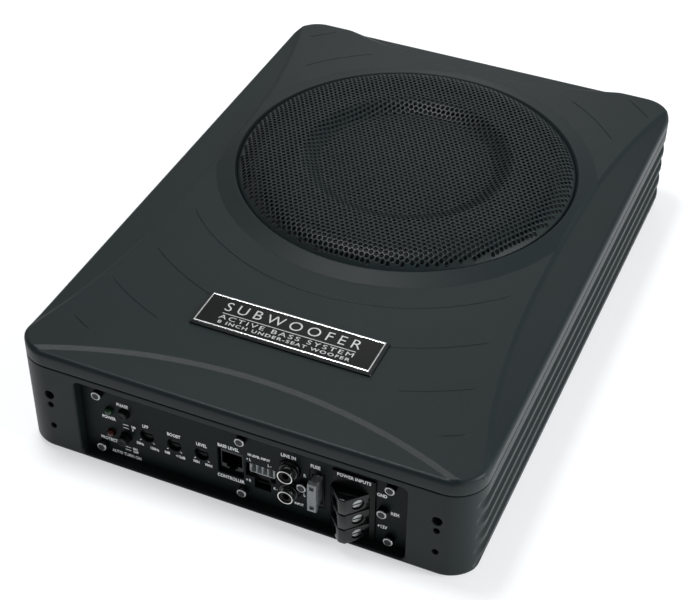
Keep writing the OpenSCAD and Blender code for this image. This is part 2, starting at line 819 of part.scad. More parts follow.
module woofer_terminals() color("peru") {
    box_from(0, woofer_d - 62.2, 28, [16, 1.6, 13]);
    for (side = [-1, 1])
        box_from(side * 5, woofer_d - 63, 32, [2.8, 0.8 - mate, 6]);
}

module tinsel_leads() color("peru")
    for (side = [-1, 1])
        about_woofer(0) wire([for (p = tinsel_route) [side * p[0], -p[1], p[2]]], 0.6);

lower_housing();
top_cover();
cover_gasket();
cover_screws();
feet();
grille();
nameplate_frame();
nameplate_insert();
control_panel();
panel_screws();
power_led();
protect_led();
phase_switch();
phase_button();
mode_switch();
mode_button();
crossover_pot();
crossover_shaft();
boost_pot();
boost_shaft();
level_pot();
level_shaft();
remote_jack();
remote_contacts();
speaker_socket();
socket_pins();
rca_block();
rca_sleeves();
rca_centres();
fuse_holder();
fuse_clips();
fuse_body();
fuse_blades();
terminal_block();
terminal_screw_1();
terminal_screw_2();
terminal_screw_3();
terminal_cage_1();
terminal_cage_2();
terminal_cage_3();
amp_board();
inner_screws();
power_transistors();
clamp_bars();
transformer_core();
transformer_winding();
filter_capacitors();
speaker_leads();
woofer_basket();
woofer_screws();
magnet_ring();
top_plate();
pole_yoke();
spider();
surround();
cone();
dust_cap();
voice_coil();
woofer_terminals();
tinsel_leads();
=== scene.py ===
"""Powered car subwoofer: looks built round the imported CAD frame. Metres; +Z is up and the panel faces -Y."""
import math

import bmesh
import bpy
import numpy as np
from mathutils import Matrix, Vector
from mathutils.geometry import delaunay_2d_cdt


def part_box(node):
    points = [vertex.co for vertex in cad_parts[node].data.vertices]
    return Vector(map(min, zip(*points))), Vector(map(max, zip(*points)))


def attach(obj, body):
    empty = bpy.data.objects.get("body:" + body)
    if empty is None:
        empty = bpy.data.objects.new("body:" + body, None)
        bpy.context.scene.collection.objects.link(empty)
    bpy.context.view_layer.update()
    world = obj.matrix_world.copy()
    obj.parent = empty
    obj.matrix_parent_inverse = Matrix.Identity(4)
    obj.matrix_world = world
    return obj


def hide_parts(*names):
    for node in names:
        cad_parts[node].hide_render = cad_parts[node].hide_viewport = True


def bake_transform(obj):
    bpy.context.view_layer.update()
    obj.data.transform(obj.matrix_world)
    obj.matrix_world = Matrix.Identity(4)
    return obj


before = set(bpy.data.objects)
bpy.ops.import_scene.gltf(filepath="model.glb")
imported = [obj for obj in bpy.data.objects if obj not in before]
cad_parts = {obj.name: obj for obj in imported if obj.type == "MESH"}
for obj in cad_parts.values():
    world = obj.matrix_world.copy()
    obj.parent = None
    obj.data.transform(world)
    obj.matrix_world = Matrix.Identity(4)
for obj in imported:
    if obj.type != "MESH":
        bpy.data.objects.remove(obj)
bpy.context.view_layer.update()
MM = 0.001
TAU = 2 * math.pi
BACK = (0, 1, 0)
HUB_SIDES = 240
BORE_SIDES = 32


# ---- places taken from the frame

def low(node):
    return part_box(node)[0]


def high(node):
    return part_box(node)[1]


def middle(node):
    return (low(node) + high(node)) / 2


HALF_W = high("lower_housing").x
FRONT = low("lower_housing").y
REAR = high("lower_housing").y
BASE = low("lower_housing").z
FRONT_MM = FRONT / MM
PARTING = high("lower_housing").z
MID_Y = (FRONT + REAR) / 2
COVER_LOW = high("cover_gasket").z
RING_Z = high("top_cover").z
RING_RISE, FACET_DROP = 2.7, 1.8
PLATEAU = RING_Z - RING_RISE * MM
FACET = PLATEAU - FACET_DROP * MM
HUB = Vector((middle("grille").x, middle("grille").y, 0))
PANEL_Y = low("control_panel").y


def front_point(x, d, z):
    """A point in metres from millimetres: across, behind the front wall's face, and up."""
    return (x * MM, (FRONT_MM + d) * MM, z * MM)


# ---- mesh helpers

def mesh_object(name, verts, faces, material, smooth_angle=35):
    """A new object from vertices in metres and faces, with edges sharper than smooth_angle left sharp."""
    mesh = bpy.data.meshes.new(name)
    mesh.from_pydata([tuple(v) for v in verts], [], [tuple(f) for f in faces])
    mesh.validate()
    mesh.materials.append(material)
    obj = bpy.data.objects.new(name, mesh)
    bpy.context.scene.collection.objects.link(obj)
    if smooth_angle is not None:
        smooth(obj, smooth_angle)
    return obj


def smooth(obj, angle):
    """Smooth shading, with edges sharper than angle left sharp."""
    mesh = obj.data
    mesh.polygons.foreach_set("use_smooth", [True] * len(mesh.polygons))
    mesh.set_sharp_from_angle(angle=math.radians(angle))
    mesh.update()
    return obj


def weld(obj, distance=1e-6):
    """Merges vertices that meet and turns all faces outward."""
    bm = bmesh.new()
    bm.from_mesh(obj.data)
    bmesh.ops.remove_doubles(bm, verts=bm.verts, dist=distance)
    bmesh.ops.recalc_face_normals(bm, faces=bm.faces)
    bm.to_mesh(obj.data)
    bm.free()
    return obj


def join(objs, name):
    """Several parts as one object; their own names go."""
    bpy.ops.object.select_all(action="DESELECT")
    for o in objs:
        o.select_set(True)
    bpy.context.view_layer.objects.active = objs[0]
    bpy.ops.object.join()
    objs[0].name = name
    objs[0].data.name = name
    return objs[0]


def settle(obj, body, nodes):
    """Puts a finished piece, or parts joined into it, on its body in place of its CAD nodes."""
    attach(obj, body)
    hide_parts(*nodes)
    return obj


def circle(cx, cy, r, n):
    angles = [TAU * i / n for i in range(n)]
    return [(cx + r * math.cos(a), cy + r * math.sin(a)) for a in angles]


def rect(x0, y0, x1, y1):
    return [(x0, y0), (x1, y0), (x1, y1), (x0, y1)]


def rounded_rect(cx, cy, w, h, r, n=8):
    """Corners of a rounded rectangle, anticlockwise, n steps to each corner."""
    r = min(r, w / 2, h / 2)
    out = []
    for sx, sy, a0 in ((1, -1, -90), (1, 1, 0), (-1, 1, 90), (-1, -1, 180)):
        ox, oy = cx + sx * (w / 2 - r), cy + sy * (h / 2 - r)
        for i in range(n + 1):
            a = math.radians(a0 + 90 * i / n)
            out.append((ox + r * math.cos(a), oy + r * math.sin(a)))
    return out


def skin(rows, n, closed=True, wrap=False):
    """Faces between successive rows of n vertices.

    closed joins the two ends of each row, and wrap joins the last row to the first.
    """
    return [(k * n + i, k * n + (i + 1) % n, (k + 1) % rows * n + (i + 1) % n, (k + 1) % rows * n + i)
            for k in range(rows if wrap else rows - 1) for i in range(n if closed else n - 1)]


def flipped(faces):
    """The same quads seen from the other side, each from the same first corner."""
    return [(a, d, c, b) for a, b, c, d in faces]


def revolve(profile, n, centre=(0, 0), close=False):
    """Vertices and faces of a profile of (r, z) points in mm turned about a vertical axis."""
    verts = []
    for r, z in profile:
        for i in range(n):
            a = TAU * i / n
            verts.append((centre[0] + r * MM * math.cos(a), centre[1] + r * MM * math.sin(a), z * MM))
    return verts, skin(len(profile), n, wrap=close)


def turned(profile, n, mouth, material, name="part", close=False, angle=35):
    """A part turned about an axis running back from mouth: profile points are (radius, depth) in mm."""
    verts, faces = revolve(profile, n, close=close)
    q = Vector((0, 0, 1)).rotation_difference(Vector(BACK).normalized())
    verts = [Vector(mouth) + q @ Vector(v) for v in verts]
    obj = mesh_object(name, verts, faces, material, None)
    if not close:
        bm = bmesh.new()
        bm.from_mesh(obj.data)
        bmesh.ops.holes_fill(bm, edges=[e for e in bm.edges if e.is_boundary], sides=0)
        bm.to_mesh(obj.data)
        bm.free()
    weld(obj)
    return smooth(obj, angle)


# ---- materials

def new_material(name):
    mat = bpy.data.materials.new(name)
    mat.use_nodes = True
    tree = mat.node_tree
    return mat, tree, tree.nodes["Principled BSDF"]


def wire(tree, node, values):
    """Sets inputs by name: the output of another node is linked, anything else is the input's value."""
    for name, value in values.items():
        if isinstance(value, bpy.types.NodeSocket):
            tree.links.new(value, node.inputs[name])
        else:
            node.inputs[name].default_value = value
    return node


def add(tree, kind, values):
    return wire(tree, tree.nodes.new("ShaderNode" + kind), values)


def object_place(tree):
    return tree.nodes.new("ShaderNodeTexCoord").outputs["Object"]


def noise(tree, size, detail=3.0, stretch=(1, 1, 1)):
    """Noise in object space whose blobs are about size mm across."""
    mapping = add(tree, "Mapping", {"Scale": stretch, "Vector": object_place(tree)})
    return add(tree, "TexNoise", {"Scale": 1 / (size * MM), "Detail": detail, "Roughness": 0.55,
                                  "Vector": mapping.outputs["Vector"]}).outputs["Fac"]


def remap(tree, value, lo, hi, new_lo, new_hi):
    return add(tree, "MapRange", {"From Min": lo, "From Max": hi, "To Min": new_lo, "To Max": new_hi,
                                  "Value": value}).outputs["Result"]


def shaded(tree, factor, color, vary):
    """Between a darker and a lighter shade of one colour."""
    node = tree.nodes.new("ShaderNodeMix")
    node.data_type = "RGBA"
    return wire(tree, node, {"A": (*(c * (1 - vary) for c in color), 1),
                             "B": (*(min(1.0, c * (1 + vary)) for c in color), 1),
                             "Factor": factor}).outputs["Result"]


def relief(tree, height, distance, strength=1.0):
    """A normal that reads height as relief of the given depth in metres."""
    return add(tree, "Bump", {"Strength": strength, "Distance": distance, "Height": height}).outputs["Normal"]


def coated(name, color, rough, metallic=0.0, vary=0.1, cloud=12, grain=0.5, depth=0.02, rough_vary=0.06,
           stretch=(1, 1, 1), coat=0.0, specular=0.5, detail=3.0):
    """An opaque surface with cloudy colour and a fine grain in relief. cloud, grain and depth are in mm."""
    mat, tree, shader = new_material(name)
    cloudy = remap(tree, noise(tree, cloud, 4.0), 0.3, 0.7, 0.0, 1.0)
    fine = noise(tree, grain, detail, stretch)
    wire(tree, shader, {
        "Base Color": shaded(tree, cloudy, color, vary),
        "Roughness": remap(tree, fine, 0.25, 0.75, max(0.02, rough - rough_vary), rough + rough_vary),
        "Normal": relief(tree, fine, depth * MM, 0.5),
        "Metallic": metallic,
        "Coat Weight": coat,
        "Coat Roughness": 0.12,
        "Specular IOR Level": specular,
    })
    return mat


def see_through(name, color, rough, transmission):
    """A clear or tinted moulding."""
    mat = coated(name, color, rough, vary=0.05, cloud=3, grain=0.6, depth=0.01)
    shader = mat.node_tree.nodes["Principled BSDF"]
    wire(mat.node_tree, shader, {"Transmission Weight": transmission, "IOR": 1.5})
    return mat


def threads(tree, pitch, distortion):
    """Fine parallel waves in object space, pitch metres apart."""
    return add(tree, "TexWave", {"Scale": 0.3 / pitch, "Distortion": distortion,
                                 "Vector": object_place(tree)})


def wound(name, color, pitch):
    """Enamelled wire laid side by side, as fine turns round the vertical axis or a toroid."""
    mat, tree, shader = new_material(name)
    wave = threads(tree, pitch, 0.6)
    wave.wave_type = "RINGS"
    turns = wave.outputs["Fac"]
    wire(tree, shader, {"Base Color": shaded(tree, turns, color, 0.18), "Roughness": 0.32, "Metallic": 0.6,
                        "Normal": relief(tree, turns, pitch / 3)})
    return mat


def woven(name, color, pitch):
    """Cloth: two crossed sets of threads."""
    mat, tree, shader = new_material(name)
    warp, weft = threads(tree, pitch, 0.4), threads(tree, pitch, 0.4)
    warp.bands_direction, weft.bands_direction = "X", "Y"
    cross = tree.nodes.new("ShaderNodeMath")
    cross.operation = "MAXIMUM"
    tree.links.new(warp.outputs["Fac"], cross.inputs[0])
    tree.links.new(weft.outputs["Fac"], cross.inputs[1])
    cloth = cross.outputs[0]
    wire(tree, shader, {"Base Color": shaded(tree, cloth, color, 0.25), "Roughness": 0.85,
                        "Sheen Weight": 0.2, "Normal": relief(tree, cloth, pitch / 3)})
    return mat


COAT = coated("charcoal_powder_coat", (0.0094, 0.0146, 0.0152), 0.43, vary=0.05, cloud=35, grain=0.55,
              depth=0.09, rough_vary=0.07, specular=0.15)
PANEL_COAT = coated("charcoal_panel_coat", (0.0050, 0.0088, 0.0094), 0.42, vary=0.06, cloud=20, grain=0.35,
                    depth=0.02, specular=0.08)
GRILLE_COAT = coated("grille_coat", (0.0062, 0.0112, 0.0116), 0.40, vary=0.12, cloud=8, grain=0.4,
                     depth=0.02, specular=0.22)
SEAL = coated("seal_rubber", (0.006, 0.006, 0.006), 0.7, vary=0.2, cloud=5)
FOOT_RUBBER = coated("foot_rubber", (0.012, 0.012, 0.012), 0.75, vary=0.2, cloud=4, depth=0.05)
BLACK_GLOSS = coated("black_gloss_plastic", (0.0026, 0.0034, 0.0038), 0.14, vary=0.15, cloud=5, grain=0.5,
                     depth=0.008, rough_vary=0.05, specular=0.3)
BLACK_MATT = coated("black_moulded_plastic", (0.0040, 0.0044, 0.0048), 0.34, vary=0.15, cloud=4,
                    grain=0.25, depth=0.012, specular=0.10)
SHAFT_BLACK = coated("dark_shaft_plastic", (0.005, 0.006, 0.006), 0.4, vary=0.1, cloud=2, grain=0.2,
                     specular=0.15)
MILKY = see_through("milky_plastic", (0.62, 0.66, 0.67), 0.28, transmission=0.35)
SMOKY = see_through("smoky_plastic", (0.42, 0.45, 0.46), 0.18, transmission=0.6)
GREEN = see_through("green_lens", (0.004, 0.050, 0.014), 0.10, transmission=0.3)
RED = see_through("red_lens", (0.045, 0.003, 0.003), 0.10, transmission=0.3)
NICKEL = coated("bright_nickel", (0.62, 0.61, 0.58), 0.16, metallic=1.0, vary=0.08, cloud=2, grain=0.3,
                depth=0.006, rough_vary=0.05)
RIM_STEEL = coated("screw_rim_steel", (0.34, 0.35, 0.35), 0.24, metallic=1.0, vary=0.15, cloud=1.5,
                   grain=0.3, depth=0.008)
ZINC = coated("zinc_plate", (0.50, 0.50, 0.48), 0.33, metallic=1.0, vary=0.12, cloud=3, grain=0.3,
              depth=0.012)
BLACK_STEEL = coated("black_oxide_steel", (0.016, 0.016, 0.017), 0.36, metallic=0.7, vary=0.2, cloud=2)
BRASS = coated("contact_brass", (0.60, 0.42, 0.16), 0.28, metallic=1.0, vary=0.12, cloud=2)
BRUSHED = coated("brushed_aluminium", (0.70, 0.71, 0.71), 0.24, metallic=1.0, vary=0.08, cloud=6,
                 grain=0.25, depth=0.01, stretch=(0.04, 1, 1))
DARK_TRIM = coated("dark_bevelled_trim", (0.055, 0.060, 0.061), 0.28, metallic=1.0, vary=0.12, cloud=6,
                   grain=0.25, depth=0.01)
PLATE_BLACK = coated("nameplate_black", (0.0030, 0.0034, 0.0037), 0.22, vary=0.2, cloud=9, grain=0.3,
                     depth=0.006, specular=0.2)
INK_WHITE = coated("white_ink", (0.84, 0.86, 0.87), 0.55, vary=0.06, cloud=1.5, grain=0.2)
INK_SILVER = coated("silver_ink", (0.52, 0.54, 0.54), 0.36, metallic=0.75, vary=0.08, cloud=2, grain=0.2)
BOARD = coated("circuit_board", (0.012, 0.10, 0.035), 0.35, vary=0.3, cloud=4, grain=0.8, coat=0.4)
FERRITE = coated("ferrite", (0.030, 0.030, 0.032), 0.65, vary=0.2, cloud=3, depth=0.06)
SLEEVE = coated("capacitor_sleeve", (0.010, 0.014, 0.045), 0.35, vary=0.15, cloud=6, coat=0.3)
RED_WIRE = coated("red_wire", (0.30, 0.012, 0.012), 0.45, vary=0.12, cloud=5)
BASKET = coated("basket_paint", (0.012, 0.012, 0.013), 0.5, vary=0.15, cloud=10, depth=0.05)
CONE_PAPER = coated("cone_paper", (0.014, 0.018, 0.019), 0.8, vary=0.35, cloud=1.2, grain=0.5, depth=0.12,
                    stretch=(1, 1, 0.4), detail=6.0)
SURROUND_RUBBER = coated("surround_rubber", (0.010, 0.0125, 0.013), 0.55, vary=0.15, cloud=7, grain=0.5,
                         depth=0.03, specular=0.2)
COPPER = wound("copper_winding", (0.42, 0.17, 0.06), 0.5 * MM)
CLOTH = woven("treated_cloth", (0.36, 0.25, 0.08), 0.6 * MM)


# ---- finishes of the CAD nodes

FINISHES = {
    COAT: "lower_housing top_cover",
    SEAL: "cover_gasket",
    FOOT_RUBBER: "feet",
    ZINC: "cover_screws inner_screws woofer_terminals top_plate pole_yoke transformer_core clamp_bars "
          "terminal_screw_1 terminal_screw_2 terminal_screw_3",
    GRILLE_COAT: "grille",
    BRUSHED: "nameplate_frame",
    PLATE_BLACK: "nameplate_insert",
    PANEL_COAT: "control_panel",
    BLACK_STEEL: "panel_screws woofer_screws",
    GREEN: "power_led",
    RED: "protect_led",
    BLACK_MATT: "phase_switch mode_switch crossover_pot boost_pot level_pot remote_jack rca_block "
                "fuse_holder power_transistors",
    MILKY: "speaker_socket",
    BLACK_GLOSS: "phase_button mode_button terminal_block",
    SMOKY: "fuse_body",
    SHAFT_BLACK: "crossover_shaft boost_shaft level_shaft rca_centres",
    BRASS: "remote_contacts socket_pins fuse_clips terminal_cage_1 terminal_cage_2 terminal_cage_3",
    NICKEL: "rca_sleeves fuse_blades",
    BOARD: "amp_board",
    COPPER: "transformer_winding voice_coil tinsel_leads",
    SLEEVE: "filter_capacitors",
    RED_WIRE: "speaker_leads",
    BASKET: "woofer_basket",
    FERRITE: "magnet_ring",
    CLOTH: "spider",
    SURROUND_RUBBER: "surround",
    CONE_PAPER: "cone dust_cap",
}
for finish, names in FINISHES.items():
    for node_name in names.split():
        node_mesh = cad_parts[node_name].data
        node_mesh.materials.clear()
        node_mesh.materials.append(finish)


# ---- top cover

CORNER_R = 18.0
WIDE = HALF_W / MM
LONG = (REAR - FRONT) / MM
FACET_MM = FACET / MM
PLATEAU_MM = PLATEAU / MM
HUB_D = (HUB.y - FRONT) / MM
EDGE_R = 2.5
SEAT_R = 97.3
MOUTH_R = 98.1
WELL_R = 101.5
ROOF_Z = 62.3
MOUTH_DROP = 0.75
RING_R, RING_RUN = 109.2, 10.2
ARC_HALF, ARC_DEPTH = 0.5, 0.3
# Engraved arcs: radius about the woofer's axis, then the two end angles
ARCS = [
    (125.5, -138, -42), (125.5, 37, 59), (125.5, 121, 143),
    (156.3, -128, -52), (156.3, 43, 51.5), (156.3, 128, 136),
    (187.8, -124, -110), (187.8, -70, -57),
    (218.5, -120, -115), (218.5, -65, -60),
]
# Arcs where the end facets begin: centre, radius, width of the steep strip, and rise left for the gentle run
FRONT_CREASE = (-250.4, 278.0, 2.8, 0.85)
REAR_CREASE = (609.0, 274.0, 3.0, 0.0)
FACET_RUN = 28
SIDE_STRIP = 2.2
SIDE_TILT = 0.9
SOFT = 0.35


def ramp(s, width, soft):
    """0 before s = 0, 1 after s = width, straight between, with both corners rounded over soft."""
    def area(u):
        return np.where(u < 0, 0, np.where(u < 1, u * u / 2, u - 0.5))
    return (area((s + soft) / width) - area((s - soft) / width)) * width / (2 * soft)


def side_inset(d):
    """Width of the side facet at depth d, widest beside the middle of the cover."""
    return 22.8 - 18 * (np.abs(d - 180) / 159) ** 2.6


def edge_distance(x, d):
    """How far inside the cover's rounded outline a point lies."""
    qx = np.abs(x) - (WIDE - CORNER_R)
    qd = np.abs(d - LONG / 2) - (LONG / 2 - CORNER_R)
    outside = np.hypot(np.maximum(qx, 0), np.maximum(qd, 0))
    return CORNER_R - outside - np.minimum(np.maximum(qx, qd), 0)


def cover_height(x, d):
    """Height of the cover's outer face, x across and d back from the front, all in mm."""
    r = np.hypot(x, d - HUB_D)
    crown = PLATEAU_MM + RING_RISE * ramp(RING_R - r, RING_RUN, 0.4)
    crown = crown - MOUTH_DROP * np.clip((MOUTH_R + 0.8 - r) / 0.8, 0, 1) ** 2
    angle = np.degrees(np.arctan2(d - HUB_D, x))
    for radius, start, end in ARCS:
        along = np.clip(np.minimum(angle - start, end - angle) / 1.2, 0, 1)
        across = np.clip(1 - np.abs(r - radius) / ARC_HALF, 0, 1)
        crown = crown - ARC_DEPTH * along * np.sin(across * math.pi / 2)
    z = crown
    # each facet is a steep strip and then a gentle run below the crown
    for centre_d, radius, strip, lift in (FRONT_CREASE, REAR_CREASE):
        s = radius - np.hypot(x, d - centre_d)
        facet = FACET_MM + lift * np.clip(1 - (s - strip) / FACET_RUN, 0, 1)
        z = np.minimum(z, facet + (crown - facet) * (1 - ramp(s, strip, SOFT)))
    inset = side_inset(d)
    s = np.abs(x) - (WIDE - inset)
    tilt = SIDE_TILT * np.clip(1 - (s - SIDE_STRIP) / np.maximum(inset - SIDE_STRIP, 2), 0, 1)
    z = np.minimum(z, FACET_MM + tilt + (crown - FACET_MM - tilt) * (1 - ramp(s, SIDE_STRIP, SOFT)))
    e = np.clip(edge_distance(x, d), 0, EDGE_R)
    return z - (EDGE_R - np.sqrt(np.maximum(EDGE_R ** 2 - (EDGE_R - e) ** 2, 0)))


def gather(items, name, width, kind=float):
    """One attribute of a mesh's vertices, corners or faces, as an array."""
    out = np.empty(len(items) * width, kind)
    items.foreach_get(name, out)
    return out.reshape(-1, width) if width > 1 else out


def analytic_normals(obj, height, origin, pull=0.12, tilt=None):
    """Gives each face corner the normal of height(x, d) just inside its own face, so creases stay crisp.

    A level surface is read in (x, y). With tilt -1 or 1 the surface stands on edge, facing -Y or Y, and is
    read in (x, z).
    """
    mesh = obj.data
    corner = gather(mesh.loops, "vertex_index", 1, int)
    co = gather(mesh.vertices, "co", 3) / MM
    centres = gather(mesh.polygons, "center", 3) / MM
    centres = np.repeat(centres, gather(mesh.polygons, "loop_total", 1, int), axis=0)
    away = centres - co[corner]
    reach = np.linalg.norm(away, axis=1, keepdims=True)
    p = co[corner] + away * np.minimum(pull / np.maximum(reach, 1e-9), 0.3)
    x, d, h = p[:, 0] - origin[0], p[:, 1 if tilt is None else 2] - origin[1], 0.01
    gx = (height(x + h, d) - height(x - h, d)) / (2 * h)
    gd = (height(x, d + h) - height(x, d - h)) / (2 * h)
    if tilt is None:
        n = np.stack([-gx, -gd, np.ones(len(corner))], axis=1)
    else:
        n = np.stack([-gx, np.full(len(corner), float(tilt)), -gd], axis=1)
    n /= np.linalg.norm(n, axis=1, keepdims=True)
    mesh.polygons.foreach_set("use_smooth", [True] * len(mesh.polygons))
    mesh.normals_split_custom_set([tuple(v) for v in n])
    return obj


def cdt_surface(loops, open_lines, keep):
    """Triangles of the plane with every loop and line as edges; keep(x, y) says which triangles stay."""
    points, edges = [], []
    for line, closed in [(c, True) for c in loops] + [(c, False) for c in open_lines]:
        first = len(points)
        points += [Vector(p) for p in line]
        edges += [(first + i, first + i + 1) for i in range(len(line) - 1)]
        if closed:
            edges.append((first + len(line) - 1, first))
    verts, _, faces, _, _, _ = delaunay_2d_cdt(points, edges, [], 0, 1e-4)
    flat = np.array([tuple(v) for v in verts])
    tris = np.array([tuple(f) for f in faces])
    mid = flat[tris].mean(axis=1)
    tris = tris[keep(mid[:, 0], mid[:, 1])]
    used = np.unique(tris)
    index = np.full(len(flat), -1)
    index[used] = np.arange(len(used))
    return flat[used], index[tris]


def outline(inset, step=8.0, corner_steps=16):
    """The cover's plan outline moved inward, with points along the straight sides too."""
    corners = rounded_rect(0, LONG / 2, 2 * (WIDE - inset), LONG - 2 * inset, CORNER_R - inset, corner_steps)
    out = []
    for a, b in zip(corners, corners[1:] + corners[:1]):
        pieces = max(1, int(math.hypot(b[0] - a[0], b[1] - a[1]) / step + 0.5))
        out += [(a[0] + (b[0] - a[0]) * i / pieces, a[1] + (b[1] - a[1]) * i / pieces) for i in range(pieces)]
    return out


def arc_line(cx, cy, radius, start, end, step):
    """Points of an arc between two angles, about step degrees apart."""
    n = max(2, int(abs(end - start) / step + 0.5))
    angles = [math.radians(start + (end - start) * i / n) for i in range(n + 1)]
    return [(cx + radius * math.cos(a), cy + radius * math.sin(a)) for a in angles]


def build_cover():
    """The cover as its top surface, its rim with the underside, and the well round the woofer."""
    loops = [outline(e) for e in (0, 0.12, 0.4, 0.85, 1.4, 1.95, EDGE_R)]
    loops += [circle(0, HUB_D, r, HUB_SIDES) for r in (109.6, RING_R, 108.8, 105, 99.4, 99.0, 98.6, MOUTH_R)]
    lines = []
    for radius, start, end in ARCS:
        for offset in (-1, -0.66, -0.33, 0, 0.33, 0.66, 1):
            lines.append(arc_line(0, HUB_D, radius + offset * ARC_HALF, start, end, 0.6))
    for (centre_d, radius, strip, _), start, end in ((FRONT_CREASE, 63, 117), (REAR_CREASE, -112, -68)):
        for s in (-SOFT, 0, SOFT, strip - SOFT, strip, strip + SOFT):
            lines.append(arc_line(0, centre_d, radius - s, start, end, 1.5))
    stations = [8 + 344 * i / 86 for i in range(87)]
    for s in (-SOFT, 0, SOFT, SIDE_STRIP - SOFT, SIDE_STRIP, SIDE_STRIP + SOFT):
        for side in (-1, 1):
            lines.append([(side * (WIDE - float(side_inset(d)) + s), d) for d in stations])
    flat, tris = cdt_surface(loops, lines, lambda x, d: (edge_distance(x, d) > 1e-4)
                             & (np.hypot(x, d - HUB_D) > MOUTH_R * math.cos(math.pi / HUB_SIDES) - 1e-3))
    z = cover_height(flat[:, 0], flat[:, 1])
    verts = np.column_stack([flat[:, 0], flat[:, 1] + FRONT_MM, z]) * MM
    top = mesh_object("cover_top", verts, tris, COAT, None)
    analytic_normals(top, cover_height, (0, FRONT_MM))

    rim = [(x, y + FRONT_MM, float(cover_height(np.array(x), np.array(y)))) for x, y in outline(0)]
    gasket = COVER_LOW / MM
    inner = [(x, y + FRONT_MM) for x, y in outline(6)]
    hub_y = HUB.y / MM
    angles = [math.atan2(y - hub_y, x) for x, y in inner]
    collar = [(WELL_R * math.cos(a), hub_y + WELL_R * math.sin(a)) for a in angles]
    rows = [
        rim,
        [(x, y, gasket + 0.4) for x, y, _ in rim],
        [(x, y + FRONT_MM, gasket + 0.12) for x, y in outline(0.08)],
        [(x, y + FRONT_MM, gasket) for x, y in outline(0.25)],
        [(x, y, gasket) for x, y in inner],
        [(x, y, ROOF_Z) for x, y in inner],
        [(x, y, ROOF_Z) for x, y in collar],
    ]
    verts = [(x * MM, y * MM, z * MM) for row in rows for x, y, z in row]
    side = mesh_object("cover_side", verts, flipped(skin(len(rows), len(rim))), COAT, 40)

    lip = float(cover_height(np.array(MOUTH_R), np.array(HUB_D)))
    profile = [(MOUTH_R, lip), (97.75, lip - 0.35), (97.45, lip - 0.85), (SEAT_R, lip - 1.5), (SEAT_R, 66.5),
               (94.5, 66.5), (94.5, 58.5), (86, 58.5), (86, 54.5), (WELL_R, 54.5), (WELL_R, ROOF_Z)]
    verts, faces = revolve(profile, HUB_SIDES, HUB.xy)
    well = mesh_object("cover_well", verts, [f[::-1] for f in faces], COAT, 32)
    return top, side, well


for piece, label in zip(build_cover(), ("cover_top_surface", "cover_side_wall", "cover_speaker_well")):
    piece.name = label
    settle(piece, "enclosure", ["top_cover"])


# ---- grille

GRILLE_R = 97.1
MESH_PITCH = 3.0
MESH_RISE = MESH_PITCH * math.sqrt(3) / 2
CELL_R = MESH_PITCH / math.sqrt(3)
HOLE_R = 1.12
SHEET = 0.9
GRILLE_TOP, DOME_FALL, DISH_DEPTH = 75.95, 7.7, 5.4


def dome(r):
    """Height of the grille's outer face at radius r: a flat-topped dome with a shallow dished centre."""
    fall = np.clip((r - 72) / 25.3, 0, 1)
    step = np.clip((62 - r) / 14, 0, 1)
    step = step * step * (3 - 2 * step)
    return GRILLE_TOP - DOME_FALL * fall ** 4 - DISH_DEPTH * step + (1 - np.clip(r / 46, 0, 1) ** 2)


def mesh_centres():
    """Centres of the grille's holes, in staggered rows."""
    rows = int(GRILLE_R / MESH_RISE) + 1
    out = []
    for j in range(-rows, rows + 1):
        shift = 0.5 * (j % 2)
        for i in range(-40, 41):
            x, y = (i + shift) * MESH_PITCH, j * MESH_RISE
            if math.hypot(x, y) < GRILLE_R - 1.9:
                out.append((x, y))
    return np.array(out)


